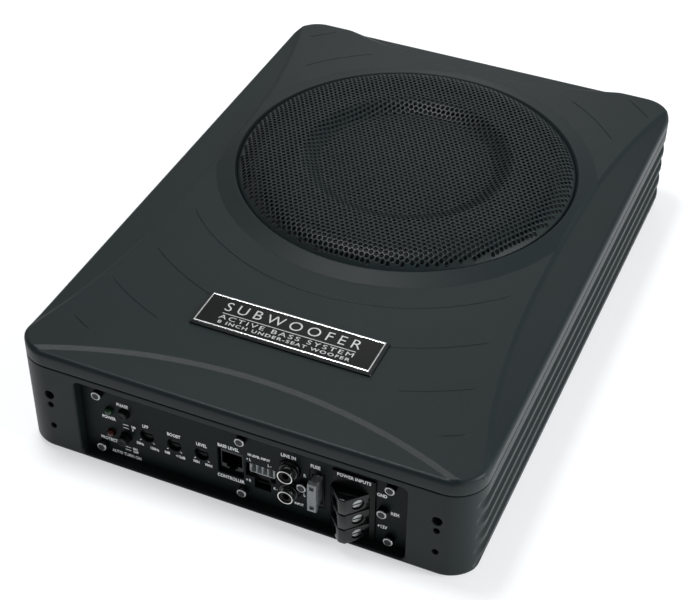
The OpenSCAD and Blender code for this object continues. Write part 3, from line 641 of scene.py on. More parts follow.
def build_grille():
    """The perforated sheet, one twelve-cornered cell to a hole, with a plain hem round it."""
    centres = mesh_centres()
    angles = np.radians(30 * np.arange(12))
    corner = np.where(np.arange(12) % 2 == 1, CELL_R, MESH_PITCH / 2)
    unit = np.column_stack([np.cos(angles), np.sin(angles)])
    rings = [unit * corner[:, None], unit * 1.30, unit * 1.17, unit * HOLE_R, unit * HOLE_R]
    drops = [0.0, 0.0, 0.07, 0.22, SHEET]
    count = len(centres)
    plan = np.concatenate([centres[:, None, :] + ring[None] for ring in rings], axis=1)
    drop = np.tile(np.repeat(drops, 12), count)
    plan = plan.reshape(-1, 2)
    z = dome(np.hypot(plan[:, 0], plan[:, 1])) - drop
    quads = np.array(skin(len(rings), 12))
    faces = (quads[None] + (np.arange(count) * 12 * len(rings))[:, None, None]).reshape(-1, 4)

    def key(x, y):
        return round(x / MESH_PITCH * 2), round(y / MESH_RISE)

    keys = {key(x, y) for x, y in centres}
    border = []
    for x, y in centres:
        for m in range(6):
            a = math.radians(60 * m)
            nx, ny = x + MESH_PITCH * math.cos(a), y + MESH_PITCH * math.sin(a)
            if key(nx, ny) not in keys:
                ends = [(math.radians(60 * m + off), q)
                        for off, q in ((-30, CELL_R), (0, MESH_PITCH / 2), (30, CELL_R))]
                border.append([(x + q * math.cos(e), y + q * math.sin(e)) for e, q in ends])

    def outside(x, y):
        """Which points belong to no cell."""
        row = np.round(y / MESH_RISE).astype(int)
        best = np.full(len(x), 1e9)
        inside = np.zeros(len(x), bool)
        for dr in (-1, 0, 1):
            j = row + dr
            shift = 0.5 * (j % 2)
            i = np.round(x / MESH_PITCH - shift)
            cx, cy = (i + shift) * MESH_PITCH, j * MESH_RISE
            gap = np.hypot(x - cx, y - cy)
            here = np.array([key(a, b) in keys for a, b in zip(cx, cy)])
            closer = gap < best
            inside = np.where(closer, here, inside)
            best = np.where(closer, gap, best)
        return ~inside

    flat, tris = cdt_surface([circle(0, 0, GRILLE_R, 360)], border, outside)
    hem_z = dome(np.hypot(flat[:, 0], flat[:, 1]))
    base = len(plan)
    verts = np.column_stack([np.concatenate([plan, flat]), np.concatenate([z, hem_z])])
    polys = [tuple(f) for f in faces] + [tuple(t + base) for t in tris]
    verts[:, 0] += HUB.x / MM
    verts[:, 1] += HUB.y / MM
    sheet = mesh_object("grille_sheet", verts * MM, polys, GRILLE_COAT, None)
    weld(sheet, 2e-5)
    smooth(sheet, 50)

    edge = float(dome(np.array(GRILLE_R)))
    profile = [(GRILLE_R, edge), (GRILLE_R, 66.75), (96.9, 66.52), (94.9, 66.52), (94.9, 67.3),
               (96.0, 67.4), (96.0, edge - SHEET)]
    ring_verts, ring_faces = revolve(profile, HUB_SIDES, HUB.xy)
    hem = mesh_object("grille_hem", ring_verts, [f[::-1] for f in ring_faces], GRILLE_COAT, 35)
    return join([sheet, hem], "grille_mesh")


settle(build_grille(), "enclosure", ["grille"])


# ---- lower housing

GROOVE_R = 4.13
GROOVE_DEPTH = 2.4
GROOVE_FIRST = 3.8
GROOVE_PITCH = 10.7
RECESS = (0.0, 28.25, 180.5, 49.5, 3.0)
BASE_MM = BASE / MM
WALL_TOP = PARTING / MM
LIP_R = 1.1
HOLE_EDGE = 0.35
WELL_MOUTH_R = 3.8
BRACKET_X = 105.7
BRACKET_HOLES = ((38.4, 2.6), (31.7, 1.65), (16.9, 1.65))


def groove_limit(z):
    """How far out the wall may reach at height z, where the grooves along the long sides cut it."""
    limit = WIDE + GROOVE_R
    for k in range(5):
        rise = z - (GROOVE_FIRST + k * GROOVE_PITCH)
        if abs(rise) < GROOVE_R:
            limit = min(limit, WIDE + GROOVE_R - GROOVE_DEPTH - math.sqrt(GROOVE_R ** 2 - rise ** 2))
    return limit


def soft_min(a, b, k):
    """The smaller of two values, with the corner between them rounded over k."""
    return min(a, b) - max(k - abs(a - b), 0) ** 2 / (4 * k)


def wall_levels():
    """Heights of the wall's rows with the inset of each row near the top and bottom edges."""
    rows = [(BASE_MM, 1.6), (BASE_MM + 0.2, 0.9), (BASE_MM + 0.7, 0.35), (BASE_MM + 1.5, 0.0)]
    z = BASE_MM + 2.0
    while z < WALL_TOP - 0.8:
        rows.append((z, 0.0))
        z += 0.42
    rows += [(WALL_TOP - 0.5, 0.0), (WALL_TOP - 0.15, 0.06), (WALL_TOP, 0.25)]
    return rows


CORNER_STEPS = 40
SEAM_STEP = 9
SEAM_TURN = math.radians(90 * SEAM_STEP / CORNER_STEPS)
CORNER_X = WIDE - CORNER_R


def corner_depth(x, inset=0.0):
    """How far behind the flat of an end wall its surface lies at x, on the flat or round the corner."""
    past = np.maximum(np.abs(x) - CORNER_X, 0)
    return CORNER_R - np.sqrt(np.maximum((CORNER_R - inset) ** 2 - past ** 2, 0))


def build_wall():
    """Both long sides with most of their corners: a grid of outline stations against heights."""
    stations = [math.radians(-90 + 90 * i / CORNER_STEPS) for i in range(SEAM_STEP, CORNER_STEPS + 1)]
    objs = []
    rows = wall_levels()
    for side in (-1, 1):
        verts = []
        for z, inset in rows:
            limit = groove_limit(z)
            r = CORNER_R - inset
            ring = [(CORNER_X + r * math.cos(a), CORNER_R + r * math.sin(a)) for a in stations]
            ring += [(x, LONG - y) for x, y in reversed(ring)]
            for x, y in ring:
                verts.append((side * soft_min(x, limit, 0.6) * MM, FRONT + y * MM, z * MM))
        faces = skin(len(rows), 2 * len(stations), closed=False)
        objs.append(mesh_object("wall", verts, [q[::side] for q in faces], COAT, 42))
    return objs


def recess_gap(x, z):
    """How far outside the recess's rounded outline a point lies; negative inside."""
    cx, cz, w, h, r = RECESS
    qx = np.abs(x - cx) - (w / 2 - r)
    qz = np.abs(z - cz) - (h / 2 - r)
    return np.hypot(np.maximum(qx, 0), np.maximum(qz, 0)) + np.minimum(np.maximum(qx, qz), 0) - r


def end_face(y_of, recess, facing, name):
    """A flat end wall with bracket holes, and the panel recess at the front."""
    rows = wall_levels()
    row_z, row_inset = [q[0] for q in rows], [q[1] for q in rows]
    grid, seam = [], []
    for z, inset in rows:
        reach = CORNER_R - inset
        round_x = [CORNER_X + reach * math.sin(SEAM_TURN * k / 6) for k in range(7)]
        flat_x = [-CORNER_X + 2 * CORNER_X * i / 8 for i in range(1, 8)]
        grid.append([(x, z) for x in [-x for x in reversed(round_x)] + flat_x + round_x])
        seam.append((round_x[-1], z))
    border = [[(-x, z) for x, z in seam], seam]
    holes = [(x, z, r) for x in (-BRACKET_X, BRACKET_X) for z, r in BRACKET_HOLES]
    loops = [circle(x, z, r + grow, BORE_SIDES) for x, z, r in holes
             for grow in (HOLE_EDGE, HOLE_EDGE * 0.4, 0)]
    if recess:
        cx, cz, w, h, cr = RECESS
        for grow in (LIP_R, 0.75, 0.4, 0.15, 0.0):
            loops.append(rounded_rect(cx, cz, w + 2 * grow, h + 2 * grow, cr + grow, 10))

    def keep(x, z):
        edge = CORNER_X + (CORNER_R - np.interp(z, row_z, row_inset)) * math.sin(SEAM_TURN)
        ok = (np.abs(x) < edge) & (z > BASE_MM) & (z < WALL_TOP)
        for hx, hz, r in holes:
            ok &= np.hypot(x - hx, z - hz) > r * math.cos(math.pi / BORE_SIDES)
        return ok & (recess_gap(x, z) > -0.01) if recess else ok

    flat, tris = cdt_surface(loops, grid + border, keep)

    def depth(x, z):
        insets = corner_depth(x, np.interp(z, row_z, row_inset))
        for hx, hz, r in holes:
            near = np.clip((r + HOLE_EDGE - np.hypot(x - hx, z - hz)) / HOLE_EDGE, 0, 1)
            insets = insets + HOLE_EDGE * near ** 1.5
        if recess:
            e = np.clip(recess_gap(x, z), 0, LIP_R)
            insets = np.maximum(insets, LIP_R - np.sqrt(np.maximum(LIP_R ** 2 - (LIP_R - e) ** 2, 0)))
        return insets

    deep = depth(flat[:, 0], flat[:, 1])
    verts = [(x * MM, y_of(d) * MM, z * MM) for (x, z), d in zip(flat, deep)]
    faces = [tuple(t[::-1]) if facing > 0 else tuple(t) for t in tris]
    wall = mesh_object(name, verts, faces, COAT, 38)
    analytic_normals(wall, lambda x, z: -depth(x, z), (0, 0), 0.05, facing)
    settle(wall, "enclosure", ["lower_housing"])


def tube_back(loop, d0, d1, material, name):
    """A wall swept back from an outline in (x, z), from depth d0 to d1."""
    verts = [front_point(x, d, z) for d in (d0, d1) for x, z in loop]
    return mesh_object(name, verts, flipped(skin(2, len(loop))), material, 40)


def bore(ring, y0, into):
    """The inside of a bracket hole, from the coated surface to 8 mm deep; into is 1 or -1 along Y."""
    mouth = [(x * MM, (y0 + into * (corner_depth(x) + HOLE_EDGE)) * MM, z * MM) for x, z in ring]
    end = [(x * MM, (y0 + into * 8) * MM, z * MM) for x, z in ring]
    faces = [q[::into] for q in flipped(skin(2, len(ring)))]
    return mesh_object("bore", mouth + end, faces, COAT, 40)


def build_housing():
    """Everything of the housing but the two end walls, which are pieces of their own."""
    rear_y = REAR / MM
    parts = build_wall()
    end_face(lambda d: FRONT_MM + d, True, -1, "housing_front_wall")
    end_face(lambda d: rear_y - d, False, 1, "housing_rear_wall")
    for hx in (-BRACKET_X, BRACKET_X):
        for hz, r in BRACKET_HOLES:
            ring = circle(hx, hz, r, BORE_SIDES)
            for y0, into in ((FRONT_MM, 1), (rear_y, -1)):
                parts.append(bore(ring, y0, into))
            for y in (FRONT_MM + 8, rear_y - 8):
                cap = [(x * MM, y * MM, z * MM) for x, z in ring]
                parts.append(mesh_object("bore_end", cap, [tuple(range(BORE_SIDES))], COAT, None))
    cx, cz, w, h, cr = RECESS
    parts.append(tube_back(rounded_rect(cx, cz, w, h, cr, 10), 1.1, 12, COAT, "recess"))

    bottom_loops = [outline(1.6, 14, 40)]
    screws = [(x, y) for x in (-(WIDE - 13), WIDE - 13) for y in (13, LONG - 13)]
    screws += [(-(WIDE - 10.4), 118), (WIDE - 10.4, 118), (-50, LONG - 8.6), (50, LONG - 8.6)]
    for x, y in screws:
        bottom_loops += [circle(x, y, WELL_MOUTH_R + 0.3, BORE_SIDES), circle(x, y, WELL_MOUTH_R, BORE_SIDES)]

    def keep(x, y):
        ok = edge_distance(x, y) > 1.6 - 1e-3
        for sx, sy in screws:
            ok &= np.hypot(x - sx, y - sy) > WELL_MOUTH_R * math.cos(math.pi / BORE_SIDES)
        return ok

    flat, tris = cdt_surface(bottom_loops, [], keep)
    lift = np.zeros(len(flat))
    for sx, sy in screws:
        lift = np.maximum(lift, 0.3 * (np.hypot(flat[:, 0] - sx, flat[:, 1] - sy) < 3.9))
    verts = [(x * MM, FRONT + y * MM, (BASE_MM + q) * MM) for (x, y), q in zip(flat, lift)]
    parts.append(mesh_object("underside", verts, [tuple(t[::-1]) for t in tris], COAT, 30))
    for sx, sy in screws:
        profile = [(WELL_MOUTH_R, BASE_MM + 0.3), (WELL_MOUTH_R, BASE_MM + 4), (2.1, BASE_MM + 4),
                   (2.1, BASE_MM + 8)]
        tube, faces = revolve(profile, BORE_SIDES, (sx * MM, FRONT + sy * MM))
        parts.append(mesh_object("screw_well", tube, faces, COAT, 40))

    inner = outline(6, 14, 16)
    n = len(inner)
    rim = outline(0.25, 14, 16)
    rows = [[(x, y, WALL_TOP) for x, y in rim], [(x, y, WALL_TOP) for x, y in inner],
            [(x, y, 4.5) for x, y in inner]]
    verts = [(x * MM, FRONT + y * MM, z * MM) for row in rows for x, y, z in row]
    faces = [q for k, q in enumerate(skin(3, n)) if k < n or not in_recess(inner, k - n)]
    faces.append(tuple(range(2 * n, 3 * n)))
    parts.append(mesh_object("inner_wall", verts, faces, COAT, 40))
    return join(parts, "housing_casting")


def in_recess(loop, i):
    """The inside of the front wall is left open behind the panel."""
    (xa, ya), (xb, yb) = loop[i], loop[(i + 1) % len(loop)]
    return max(ya, yb) < 6.5 and max(abs(xa), abs(xb)) < RECESS[2] / 2 + 8


housing = build_housing()
weld(housing, 2e-6)
smooth(housing, 38)
settle(housing, "enclosure", ["lower_housing"])


# ---- lettering

def lettering(words, size, place, material, axes, spacing, stroke=0.0, squeeze=1.0):
    """Flat letters as a mesh.

    axes holds the directions of reading and of up, spacing stretches the gaps, stroke thickens the strokes,
    and squeeze scales the letters' width.
    """
    curve = bpy.data.curves.new("letters", "FONT")
    curve.body = words
    curve.size = size
    curve.align_x = "CENTER"
    curve.align_y = "CENTER"
    curve.space_character = spacing
    curve.extrude = 0.03 * MM
    curve.offset = stroke
    curve.resolution_u = 4
    obj = bpy.data.objects.new("letters", curve)
    bpy.context.scene.collection.objects.link(obj)
    graph = bpy.context.evaluated_depsgraph_get()
    mesh = bpy.data.meshes.new_from_object(obj.evaluated_get(graph))
    bpy.data.objects.remove(obj)
    right, up = Vector(axes[0]).normalized(), Vector(axes[1]).normalized()
    turn = Matrix((right * squeeze, up, right.cross(up))).transposed().to_4x4()
    mesh.transform(Matrix.Translation(place) @ turn)
    mesh.materials.clear()
    mesh.materials.append(material)
    out = bpy.data.objects.new("letters", mesh)
    bpy.context.scene.collection.objects.link(out)
    return out


def loft(loops, material, name, angle=30, cap_last=False):
    """A skin over closed loops of equal length, given as 3-D points in metres."""
    n = len(loops[0])
    verts = [p for loop in loops for p in loop]
    faces = skin(len(loops), n)
    if cap_last:
        faces.append(tuple(range((len(loops) - 1) * n, len(loops) * n)))
    return mesh_object(name, verts, faces, material, angle)


# ---- nameplate

PLATE = middle("nameplate_frame")
PLATE_W = (high("nameplate_frame") - low("nameplate_frame")).x / MM
PLATE_L = (high("nameplate_frame") - low("nameplate_frame")).y / MM


def plate_loop(inset, rise):
    """The nameplate's outline drawn in by inset, at rise above the plateau, in mm."""
    return [(x * MM, y * MM, PLATEAU + rise * MM)
            for x, y in rounded_rect(PLATE.x / MM, PLATE.y / MM, PLATE_W - 2 * inset, PLATE_L - 2 * inset,
                                     max(0.8 - inset * 0.5, 0.2), 4)]


# Parts of the nameplate, each with its skin's steps of (inset, rise)
PLATE_PARTS = (
    ("bezel", DARK_TRIM, 20, "nameplate_frame", "bright_trim",
     ((0, 0.02), (0, 0.7), (0.12, 0.95), (1.25, 1.75), (1.5, 1.8), (1.7, 1.72))),
    ("border", BRUSHED, 40, "nameplate_frame", "bright_trim",
     ((1.68, 1.7), (1.74, 1.9), (1.86, 1.97), (2.28, 1.97), (2.42, 1.9), (2.5, 1.7))),
    ("field", PLATE_BLACK, 30, "nameplate_insert", "plate_black", ((2.55, 1.6), (2.55, 1.76))),
)
for part, material, angle, node, slot, steps in PLATE_PARTS:
    loops = [plate_loop(inset, rise) for inset, rise in steps]
    skinned = loft(loops, material, "nameplate_" + part, angle, cap_last=part == "field")
    settle(skinned, "enclosure", [node])

ABOVE = ((1, 0, 0), (0, 1, 0))
ink_z = PLATEAU + 1.78 * MM
title = lettering("SUBWOOFER", 9.6 * MM, (PLATE.x, PLATE.y + 4.2 * MM, ink_z), INK_SILVER, ABOVE,
                  1.48, -0.05 * MM)
line = loft([[(x * MM, y * MM, ink_z + q * MM) for x, y in
              rounded_rect(PLATE.x / MM, PLATE.y / MM - 0.9, 74, 0.45, 0.05, 1)] for q in (-0.02, 0.03)],
            INK_SILVER, "rule", 30, cap_last=True)
second = lettering("ACTIVE BASS SYSTEM", 4.4 * MM, (PLATE.x, PLATE.y - 3.9 * MM, ink_z), INK_SILVER, ABOVE,
                   1.3, 0.0, 1.42)
third = lettering("8 INCH UNDER-SEAT WOOFER", 3.1 * MM, (PLATE.x, PLATE.y - 7.7 * MM, ink_z), INK_SILVER,
                  ABOVE, 1.25, 0.05 * MM, 1.4)
settle(join([title, line, second, third], "nameplate_lettering"), "enclosure", ["nameplate_insert"])


# ---- control panel

PANEL_D = (PANEL_Y - FRONT) / MM
PANEL_BACK = (high("control_panel").y - FRONT) / MM
SCREW_SPOTS = ((-79.7, 45), (-79.7, 9), (0.8, 45), (0.8, 9), (80.3, 45), (80.3, 9), (34, 27), (76.5, 27))
LED_X, LED_Z = -74.3, (34.9, 19.5)
BUTTON_X, BUTTON_Z = -65.8, (35.6, 19.4)
POT_X, POT_Z = (-53.6, -38.0, -22.4), 24.5
JACK_X, JACK_Z = -6.2, 25.0
SOCKET_X, SOCKET_Z = 10.4, 24.9
RCA_X, RCA_Z = 27.0, (20.9, 35.1)
FUSE_X, FUSE_Z = 41.3, 26.7
TERMINAL_X = 61.2
PLATE_MID_Z = 28.25


def panel_cutouts():
    """Every hole of the panel as (loop maker taking a growth, is it round)."""
    round_holes = [(x, z, 1.6) for x, z in SCREW_SPOTS]
    round_holes += [(LED_X, z, 2.35) for z in LED_Z] + [(BUTTON_X, z, 3.2) for z in BUTTON_Z]
    round_holes += [(x, POT_Z, 4.0) for x in POT_X] + [(RCA_X, z, 5.8) for z in RCA_Z]
    cuts = [lambda g, h=h: circle(h[0], h[1], h[2] + g, 40) for h in round_holes]
    boxes = [(JACK_X, JACK_Z, 14.3, 16.8, 0.4), (FUSE_X, FUSE_Z, 8, 24.6, 0.5), (TERMINAL_X, 24, 21, 39, 0.5)]
    cuts += [lambda g, b=b: rounded_rect(b[0], b[1], b[2] + 2 * g, b[3] + 2 * g, b[4] + g, 4) for b in boxes]
    return cuts + [socket_cutout]


def socket_cutout(grow):
    """The speaker socket's opening with the slot for the plug's latch below it."""
    x, z, g = SOCKET_X, SOCKET_Z, grow
    return [(x + 8.25 + g, z - 4.5 - g), (x + 8.25 + g, z + 4.5 + g), (x - 8.25 - g, z + 4.5 + g),
            (x - 8.25 - g, z - 4.5 - g), (x - 3.5 - g, z - 4.5 - g), (x - 3.5 - g, z - 11.5 - g),
            (x + 5.5 + g, z - 11.5 - g), (x + 5.5 + g, z - 4.5 - g)]


def inside(loop, x, z):
    """Which points lie inside a loop, by crossings."""
    hit = np.zeros(len(x), bool)
    for (xa, za), (xb, zb) in zip(loop, loop[1:] + loop[:1]):
        if za == zb:
            continue
        crosses = (za > z) != (zb > z)
        at_x = xa + (z - za) * (xb - xa) / (zb - za)
        hit ^= crosses & (x < at_x)
    return hit


def build_panel():
    """The panel's plate with every hole cut and its edges eased."""
    cuts = panel_cutouts()
    border = [rounded_rect(0, PLATE_MID_Z, 180 - 2 * g, 49 - 2 * g, 2.8, 8) for g in (0.0, 0.2)]
    loops = border + [cut(g) for cut in cuts for g in (0.18, 0.0)]
    holes = [cut(0.0) for cut in cuts]
    wide = [cut(0.1) for cut in cuts]

    def keep(x, z):
        ok = inside(border[0], x, z)
        for hole in holes:
            ok &= ~inside(hole, x, z)
        return ok

    flat, tris = cdt_surface(loops, [], keep)
    x, z = flat[:, 0], flat[:, 1]
    low_edge = ~inside(rounded_rect(0, PLATE_MID_Z, 179.8, 48.8, 2.8, 8), x, z)
    for loop in wide:
        low_edge |= inside(loop, x, z)
    verts = [front_point(a, PANEL_D + (0.15 if e else 0.0), b) for a, b, e in zip(x, z, low_edge)]
    face = mesh_object("panel_face", verts, tris, PANEL_COAT, 20)
    parts = [face]
    for hole in holes + [border[0]]:
        parts.append(tube_back(hole, PANEL_D + 0.15, PANEL_BACK, PANEL_COAT, "cut"))
    back = [front_point(a, PANEL_BACK, b) for a, b in flat]
    parts.append(mesh_object("panel_back", back, [tuple(t[::-1]) for t in tris], PANEL_COAT, 20))
    return join(parts, "control_panel_plate")


settle(build_panel(), "enclosure", ["control_panel"])

FACING = ((1, 0, 0), (0, 0, 1))
# Printed legends: words, size, and centre across and up, in mm
LEGENDS = [
    ("POWER", 2.2, -75.2, 29.1), ("PHASE", 2.3, -66.5, 40.6), ("PROTECT", 2.2, -76.4, 13.5),
    ("AUTO TURN ON", 2.2, -66.8, 5.9), ("180", 1.7, -61.2, 27.6), ("0", 1.7, -61.6, 25.4),
    ("ON", 1.7, -61.4, 11.8), ("OFF", 1.7, -61.2, 9.7),
    ("LPF", 2.3, -54.0, 31.0), ("BOOST", 2.3, -37.8, 31.3), ("LEVEL", 2.3, -22.1, 31.0),
    ("50Hz", 1.9, -58.0, 17.6), ("150Hz", 1.9, -49.7, 16.9), ("0dB", 1.9, -42.3, 17.5),
    ("+12dB", 1.9, -34.7, 17.3), ("MIN", 1.9, -25.6, 18.0), ("MAX", 1.9, -18.6, 18.0),
    ("BASS LEVEL", 2.3, -7.0, 35.5), ("CONTROLLER", 2.3, -6.3, 14.0),
    ("HI LEVEL INPUT", 1.7, 9.8, 35.4), ("+ L", 1.8, 4.1, 31.9), ("L -", 1.8, 15.6, 31.9),
    ("+ R", 1.8, 3.6, 17.0), ("R -", 1.8, 18.6, 17.0), ("LINE IN", 2.4, 26.0, 42.8),
    ("R", 2.2, 34.6, 33.2), ("L", 2.2, 34.4, 19.4), ("INPUT", 1.7, 31.4, 11.6), ("FUSE", 2.4, 40.4, 41.6),
    ("GND", 2.3, 75.4, 36.9), ("REM", 2.3, 82.4, 26.6), ("+12V", 2.3, 76.0, 15.2),
]
letters = [lettering(words, size * 1.3 * MM, front_point(x, PANEL_D - 0.02, z), INK_WHITE, FACING,
                     1.04, 0.09 * MM, 0.76) for words, size, x, z in LEGENDS]
letters.append(lettering("POWER INPUTS", 2.9 * MM, front_point(TERMINAL_X, 4.78, 43.4), INK_WHITE, FACING,
                         1.04, 0.07 * MM, 0.84))


def strokes(segments, width, depth):
    """Straight printed lines on the panel between (x, z) ends."""
    verts, faces = [], []
    for (xa, za), (xb, zb) in segments:
        run = math.hypot(xb - xa, zb - za)
        nx, nz = -(zb - za) / run * width / 2, (xb - xa) / run * width / 2
        k = len(verts)
        verts += [front_point(xa + nx, depth, za + nz), front_point(xa - nx, depth, za - nz),
                  front_point(xb - nx, depth, zb - nz), front_point(xb + nx, depth, zb + nz)]
        faces.append((k, k + 1, k + 2, k + 3))
    return mesh_object("rules", verts, faces, INK_WHITE, None)


marks = []
for x in POT_X:
    for turn in (-135, 135):
        a = math.radians(90 - turn)
        marks.append(((x + 4.8 * math.cos(a), POT_Z + 4.8 * math.sin(a)),
                      (x + 6.0 * math.cos(a), POT_Z + 6.0 * math.sin(a))))
for z in (27.7, 25.5, 11.9, 9.8):
    marks.append(((-67.2, z), (-63.9, z)))
letters.append(strokes(marks, 0.4, PANEL_D - 0.03))
settle(join(letters, "panel_legends"), "enclosure", [])


# ---- solids and carving

def prism(outline_xy, z0, z1, width=0, material=None, name="part", place=None):
    """A rounded prism from a plan outline in mm; place is a matrix from its own frame in metres.

    Without a width and material it is a sharp cutter for carve; a part that is joined later needs no name.
    """
    bm = bmesh.new()
    n = len(outline_xy)
    bottom = [bm.verts.new((x * MM, y * MM, z0 * MM)) for x, y in outline_xy]
    top = [bm.verts.new((x * MM, y * MM, z1 * MM)) for x, y in outline_xy]
    bm.faces.new(bottom[::-1])
    bm.faces.new(top)
    for i in range(n):
        bm.faces.new((bottom[i], bottom[(i + 1) % n], top[(i + 1) % n], top[i]))
    bmesh.ops.recalc_face_normals(bm, faces=bm.faces)
    if width > 0:
        sharp = [e for e in bm.edges if e.calc_face_angle(0) > math.radians(25)]
        bmesh.ops.bevel(bm, geom=sharp, offset=width * MM, segments=3, profile=0.5, affect="EDGES",
                        clamp_overlap=True)
    mesh = bpy.data.meshes.new(name)
    bm.to_mesh(mesh)
    bm.free()
    mesh.materials.append(material or BLACK_GLOSS)
    obj = bpy.data.objects.new(name, mesh)
    bpy.context.scene.collection.objects.link(obj)
    if place is not None:
        mesh.transform(place)
    return smooth(obj, 30)


def block(x, d, z, size, *finish):
    """A rounded box centred on x, with its front at depth d and its bottom at height z, in mm."""
    w, l, h = size
    y = FRONT_MM + d
    return prism(rect(x - w / 2, y, x + w / 2, y + l), z, z + h, *finish)


def upright(x0, z0, x1, z1, d0, d1, width=0, material=None, name="part"):
    """A rounded plate facing the front, between two depths."""
    stand = Matrix(((1, 0, 0, 0), (0, 0, -1, 0), (0, 1, 0, 0), (0, 0, 0, 1)))
    return prism(rect(x0, z0, x1, z1), -(FRONT_MM + d1), -(FRONT_MM + d0), width, material, name, stand)


def rod(point, axis, r, h, width=0, material=None, name="part"):
    """A rounded cylinder from a point in metres along an axis; radius and length in mm."""
    q = Vector((0, 0, 1)).rotation_difference(Vector(axis).normalized()).to_matrix().to_4x4()
    place = Matrix.Translation(point) @ q
    return prism(circle(0, 0, r, 48), 0, h, width, material, name, place)


def carve(obj, cutters):
    """Cuts the other solids out of obj and keeps only the result."""
    for cutter in cutters:
        mod = obj.modifiers.new("cut", "BOOLEAN")
        mod.operation = "DIFFERENCE"
        mod.solver = "EXACT"
        mod.object = cutter
    graph = bpy.context.evaluated_depsgraph_get()
    mesh = bpy.data.meshes.new_from_object(obj.evaluated_get(graph))
    obj.modifiers.clear()
    obj.data = mesh
    while len(mesh.materials) > 1:
        mesh.materials.pop()
    mesh.polygons.foreach_set("material_index", [0] * len(mesh.polygons))
    for cutter in cutters:
        bpy.data.objects.remove(cutter)
    return smooth(obj, 30)


# ---- power terminals

TERMINAL_Z = (31.3, 21.0, 10.7)
CLAMP_X, CLAMP_D = 59.8, 5.8
TURN = math.radians(-43.5)
SCREW_AXIS = Vector((math.cos(TURN), math.sin(TURN), 0))
WIRE_AXIS = Vector((-math.sin(TURN), math.cos(TURN), 0))


def terminal_point(z, along_screw, along_wire):
    """A point beside the clamp at height z, measured in mm along its screw and its wire."""
    return Vector(front_point(CLAMP_X, CLAMP_D, z)) + (SCREW_AXIS * along_screw + WIRE_AXIS * along_wire) * MM


def turned_frame(z):
    """The frame of the clamp at height z: its screw along X, its wire along Y."""
    return Matrix.Translation(front_point(CLAMP_X, CLAMP_D, z)) @ Matrix.Rotation(TURN, 4, "Z")


wedge = [(49.6, 5.9), (49.6, 2.8), (57.1, -4.45), (60.5, -4.45), (70.3, 5.9)]
wedge_core = [(50.4, 5.8), (50.4, 3.2), (57.4, -3.6), (60.2, -3.6), (69.0, 5.8)]
terminal_parts = []
for z in TERMINAL_Z:
    top = z + (5.15 if z > 30 else 4.98)
    segment = prism([(x, FRONT_MM + d) for x, d in wedge], z - 4.98, top, 0.75, BLACK_GLOSS)
    terminal_parts.append(carve(segment, [
        rod(terminal_point(z, 5.3, 0), SCREW_AXIS, 3.2, 6),
        rod(terminal_point(z, 2.2, 0), SCREW_AXIS, 2.0, 6),
        rod(terminal_point(z, 0, -13), WIRE_AXIS, 2.2, 9.4),
        rod(terminal_point(z, 0, -9.35), WIRE_AXIS, 2.75, 0.7),
        prism(rect(-3.3, -3.6, 4.5, 3.6), z - 3.7, z + 3.7, place=turned_frame(0)),
    ]))
core = prism([(x, FRONT_MM + d) for x, d in wedge_core], 5.6, 36.2, 0.2, BLACK_GLOSS)
terminal_parts.append(carve(core, [prism(rect(-12, -12, 9, 3.6), z - 4.7, z + 4.7, place=turned_frame(0))
                                   for z in TERMINAL_Z]))
flange = block(61, 4.8, 4.6, (22.9, 1.2, 40.8), 0.35, BLACK_MATT)
terminal_parts.append(carve(flange, [prism(rect(50.2, FRONT_MM + 4, 69.6, FRONT_MM + 8), 5.8, 36)]))
terminal_parts.append(block(TERMINAL_X, 9.7, 4.8, (20.5, 10.2, 38), 0.3, BLACK_GLOSS))
for side in (-1, 1):
    terminal_parts.append(block(TERMINAL_X + side * 9.85, 6.0, 4.8, (0.8, 4.0, 38), 0.1, BLACK_GLOSS))
terminal_parts.append(block(75, 7.6, 21, (10.9, 3.9, 12), 0.3, BLACK_GLOSS))
settle(join(terminal_parts, "terminal_block_moulding"), "enclosure", ["terminal_block"])

for k, z in enumerate(TERMINAL_Z, 1):
    head = rod(terminal_point(z, 5.35, 0), SCREW_AXIS, 2.9, 1.5, 0.35, RIM_STEEL)
    head = carve(head, [prism(rect(6.15, -4, 9, 4), -0.45, 0.45, place=turned_frame(z))])
    shank = rod(terminal_point(z, 2.25, 0), SCREW_AXIS, 1.85, 3.2, 0.2, RIM_STEEL)
    screw = join([head, shank], "clamp_screw_%d_head" % k)
    settle(screw, "clamp_screw_%d" % k, ["terminal_screw_%d" % k])


# ---- panel hardware

# Profiles of a panel screw: the socket's mouth, the bright worn rim, and the head's side with the shank
SCREW_PROFILES = (
    (((1.28, 1.7), (1.28, 0.1), (1.42, 0), (1.9, -0.02)), BLACK_STEEL, 40),
    (((1.8, 0.0), (2.3, 0.0), (2.58, 0.12), (2.72, 0.4), (2.72, 0.62)), RIM_STEEL, 50),
    (((2.72, 0.6), (2.72, 3.2), (2.6, 3.36), (1.4, 3.36), (1.4, 10.5)), BLACK_STEEL, 40),
)
screw_parts, rim_parts = [], []
for x, z in SCREW_SPOTS:
    place = front_point(x, 2.62, z)
    collar, rim, side = (turned(profile, 48, place, material, angle=angle)
                         for profile, material, angle in SCREW_PROFILES)
    corners = [math.radians(60 * i + 12) for i in range(6)]
    hexagon = [(x + 1.28 * math.cos(a), z + 1.28 * math.sin(a)) for a in corners]
    plug = tube_back(hexagon[::-1], 2.65, 4.3, BLACK_STEEL, "hex")
    screw_parts += [collar, side, plug]
    rim_parts.append(rim)
settle(join(screw_parts, "panel_screw_bodies"), "enclosure", ["panel_screws"])
settle(join(rim_parts, "panel_screw_rims"), "enclosure", ["panel_screws"])

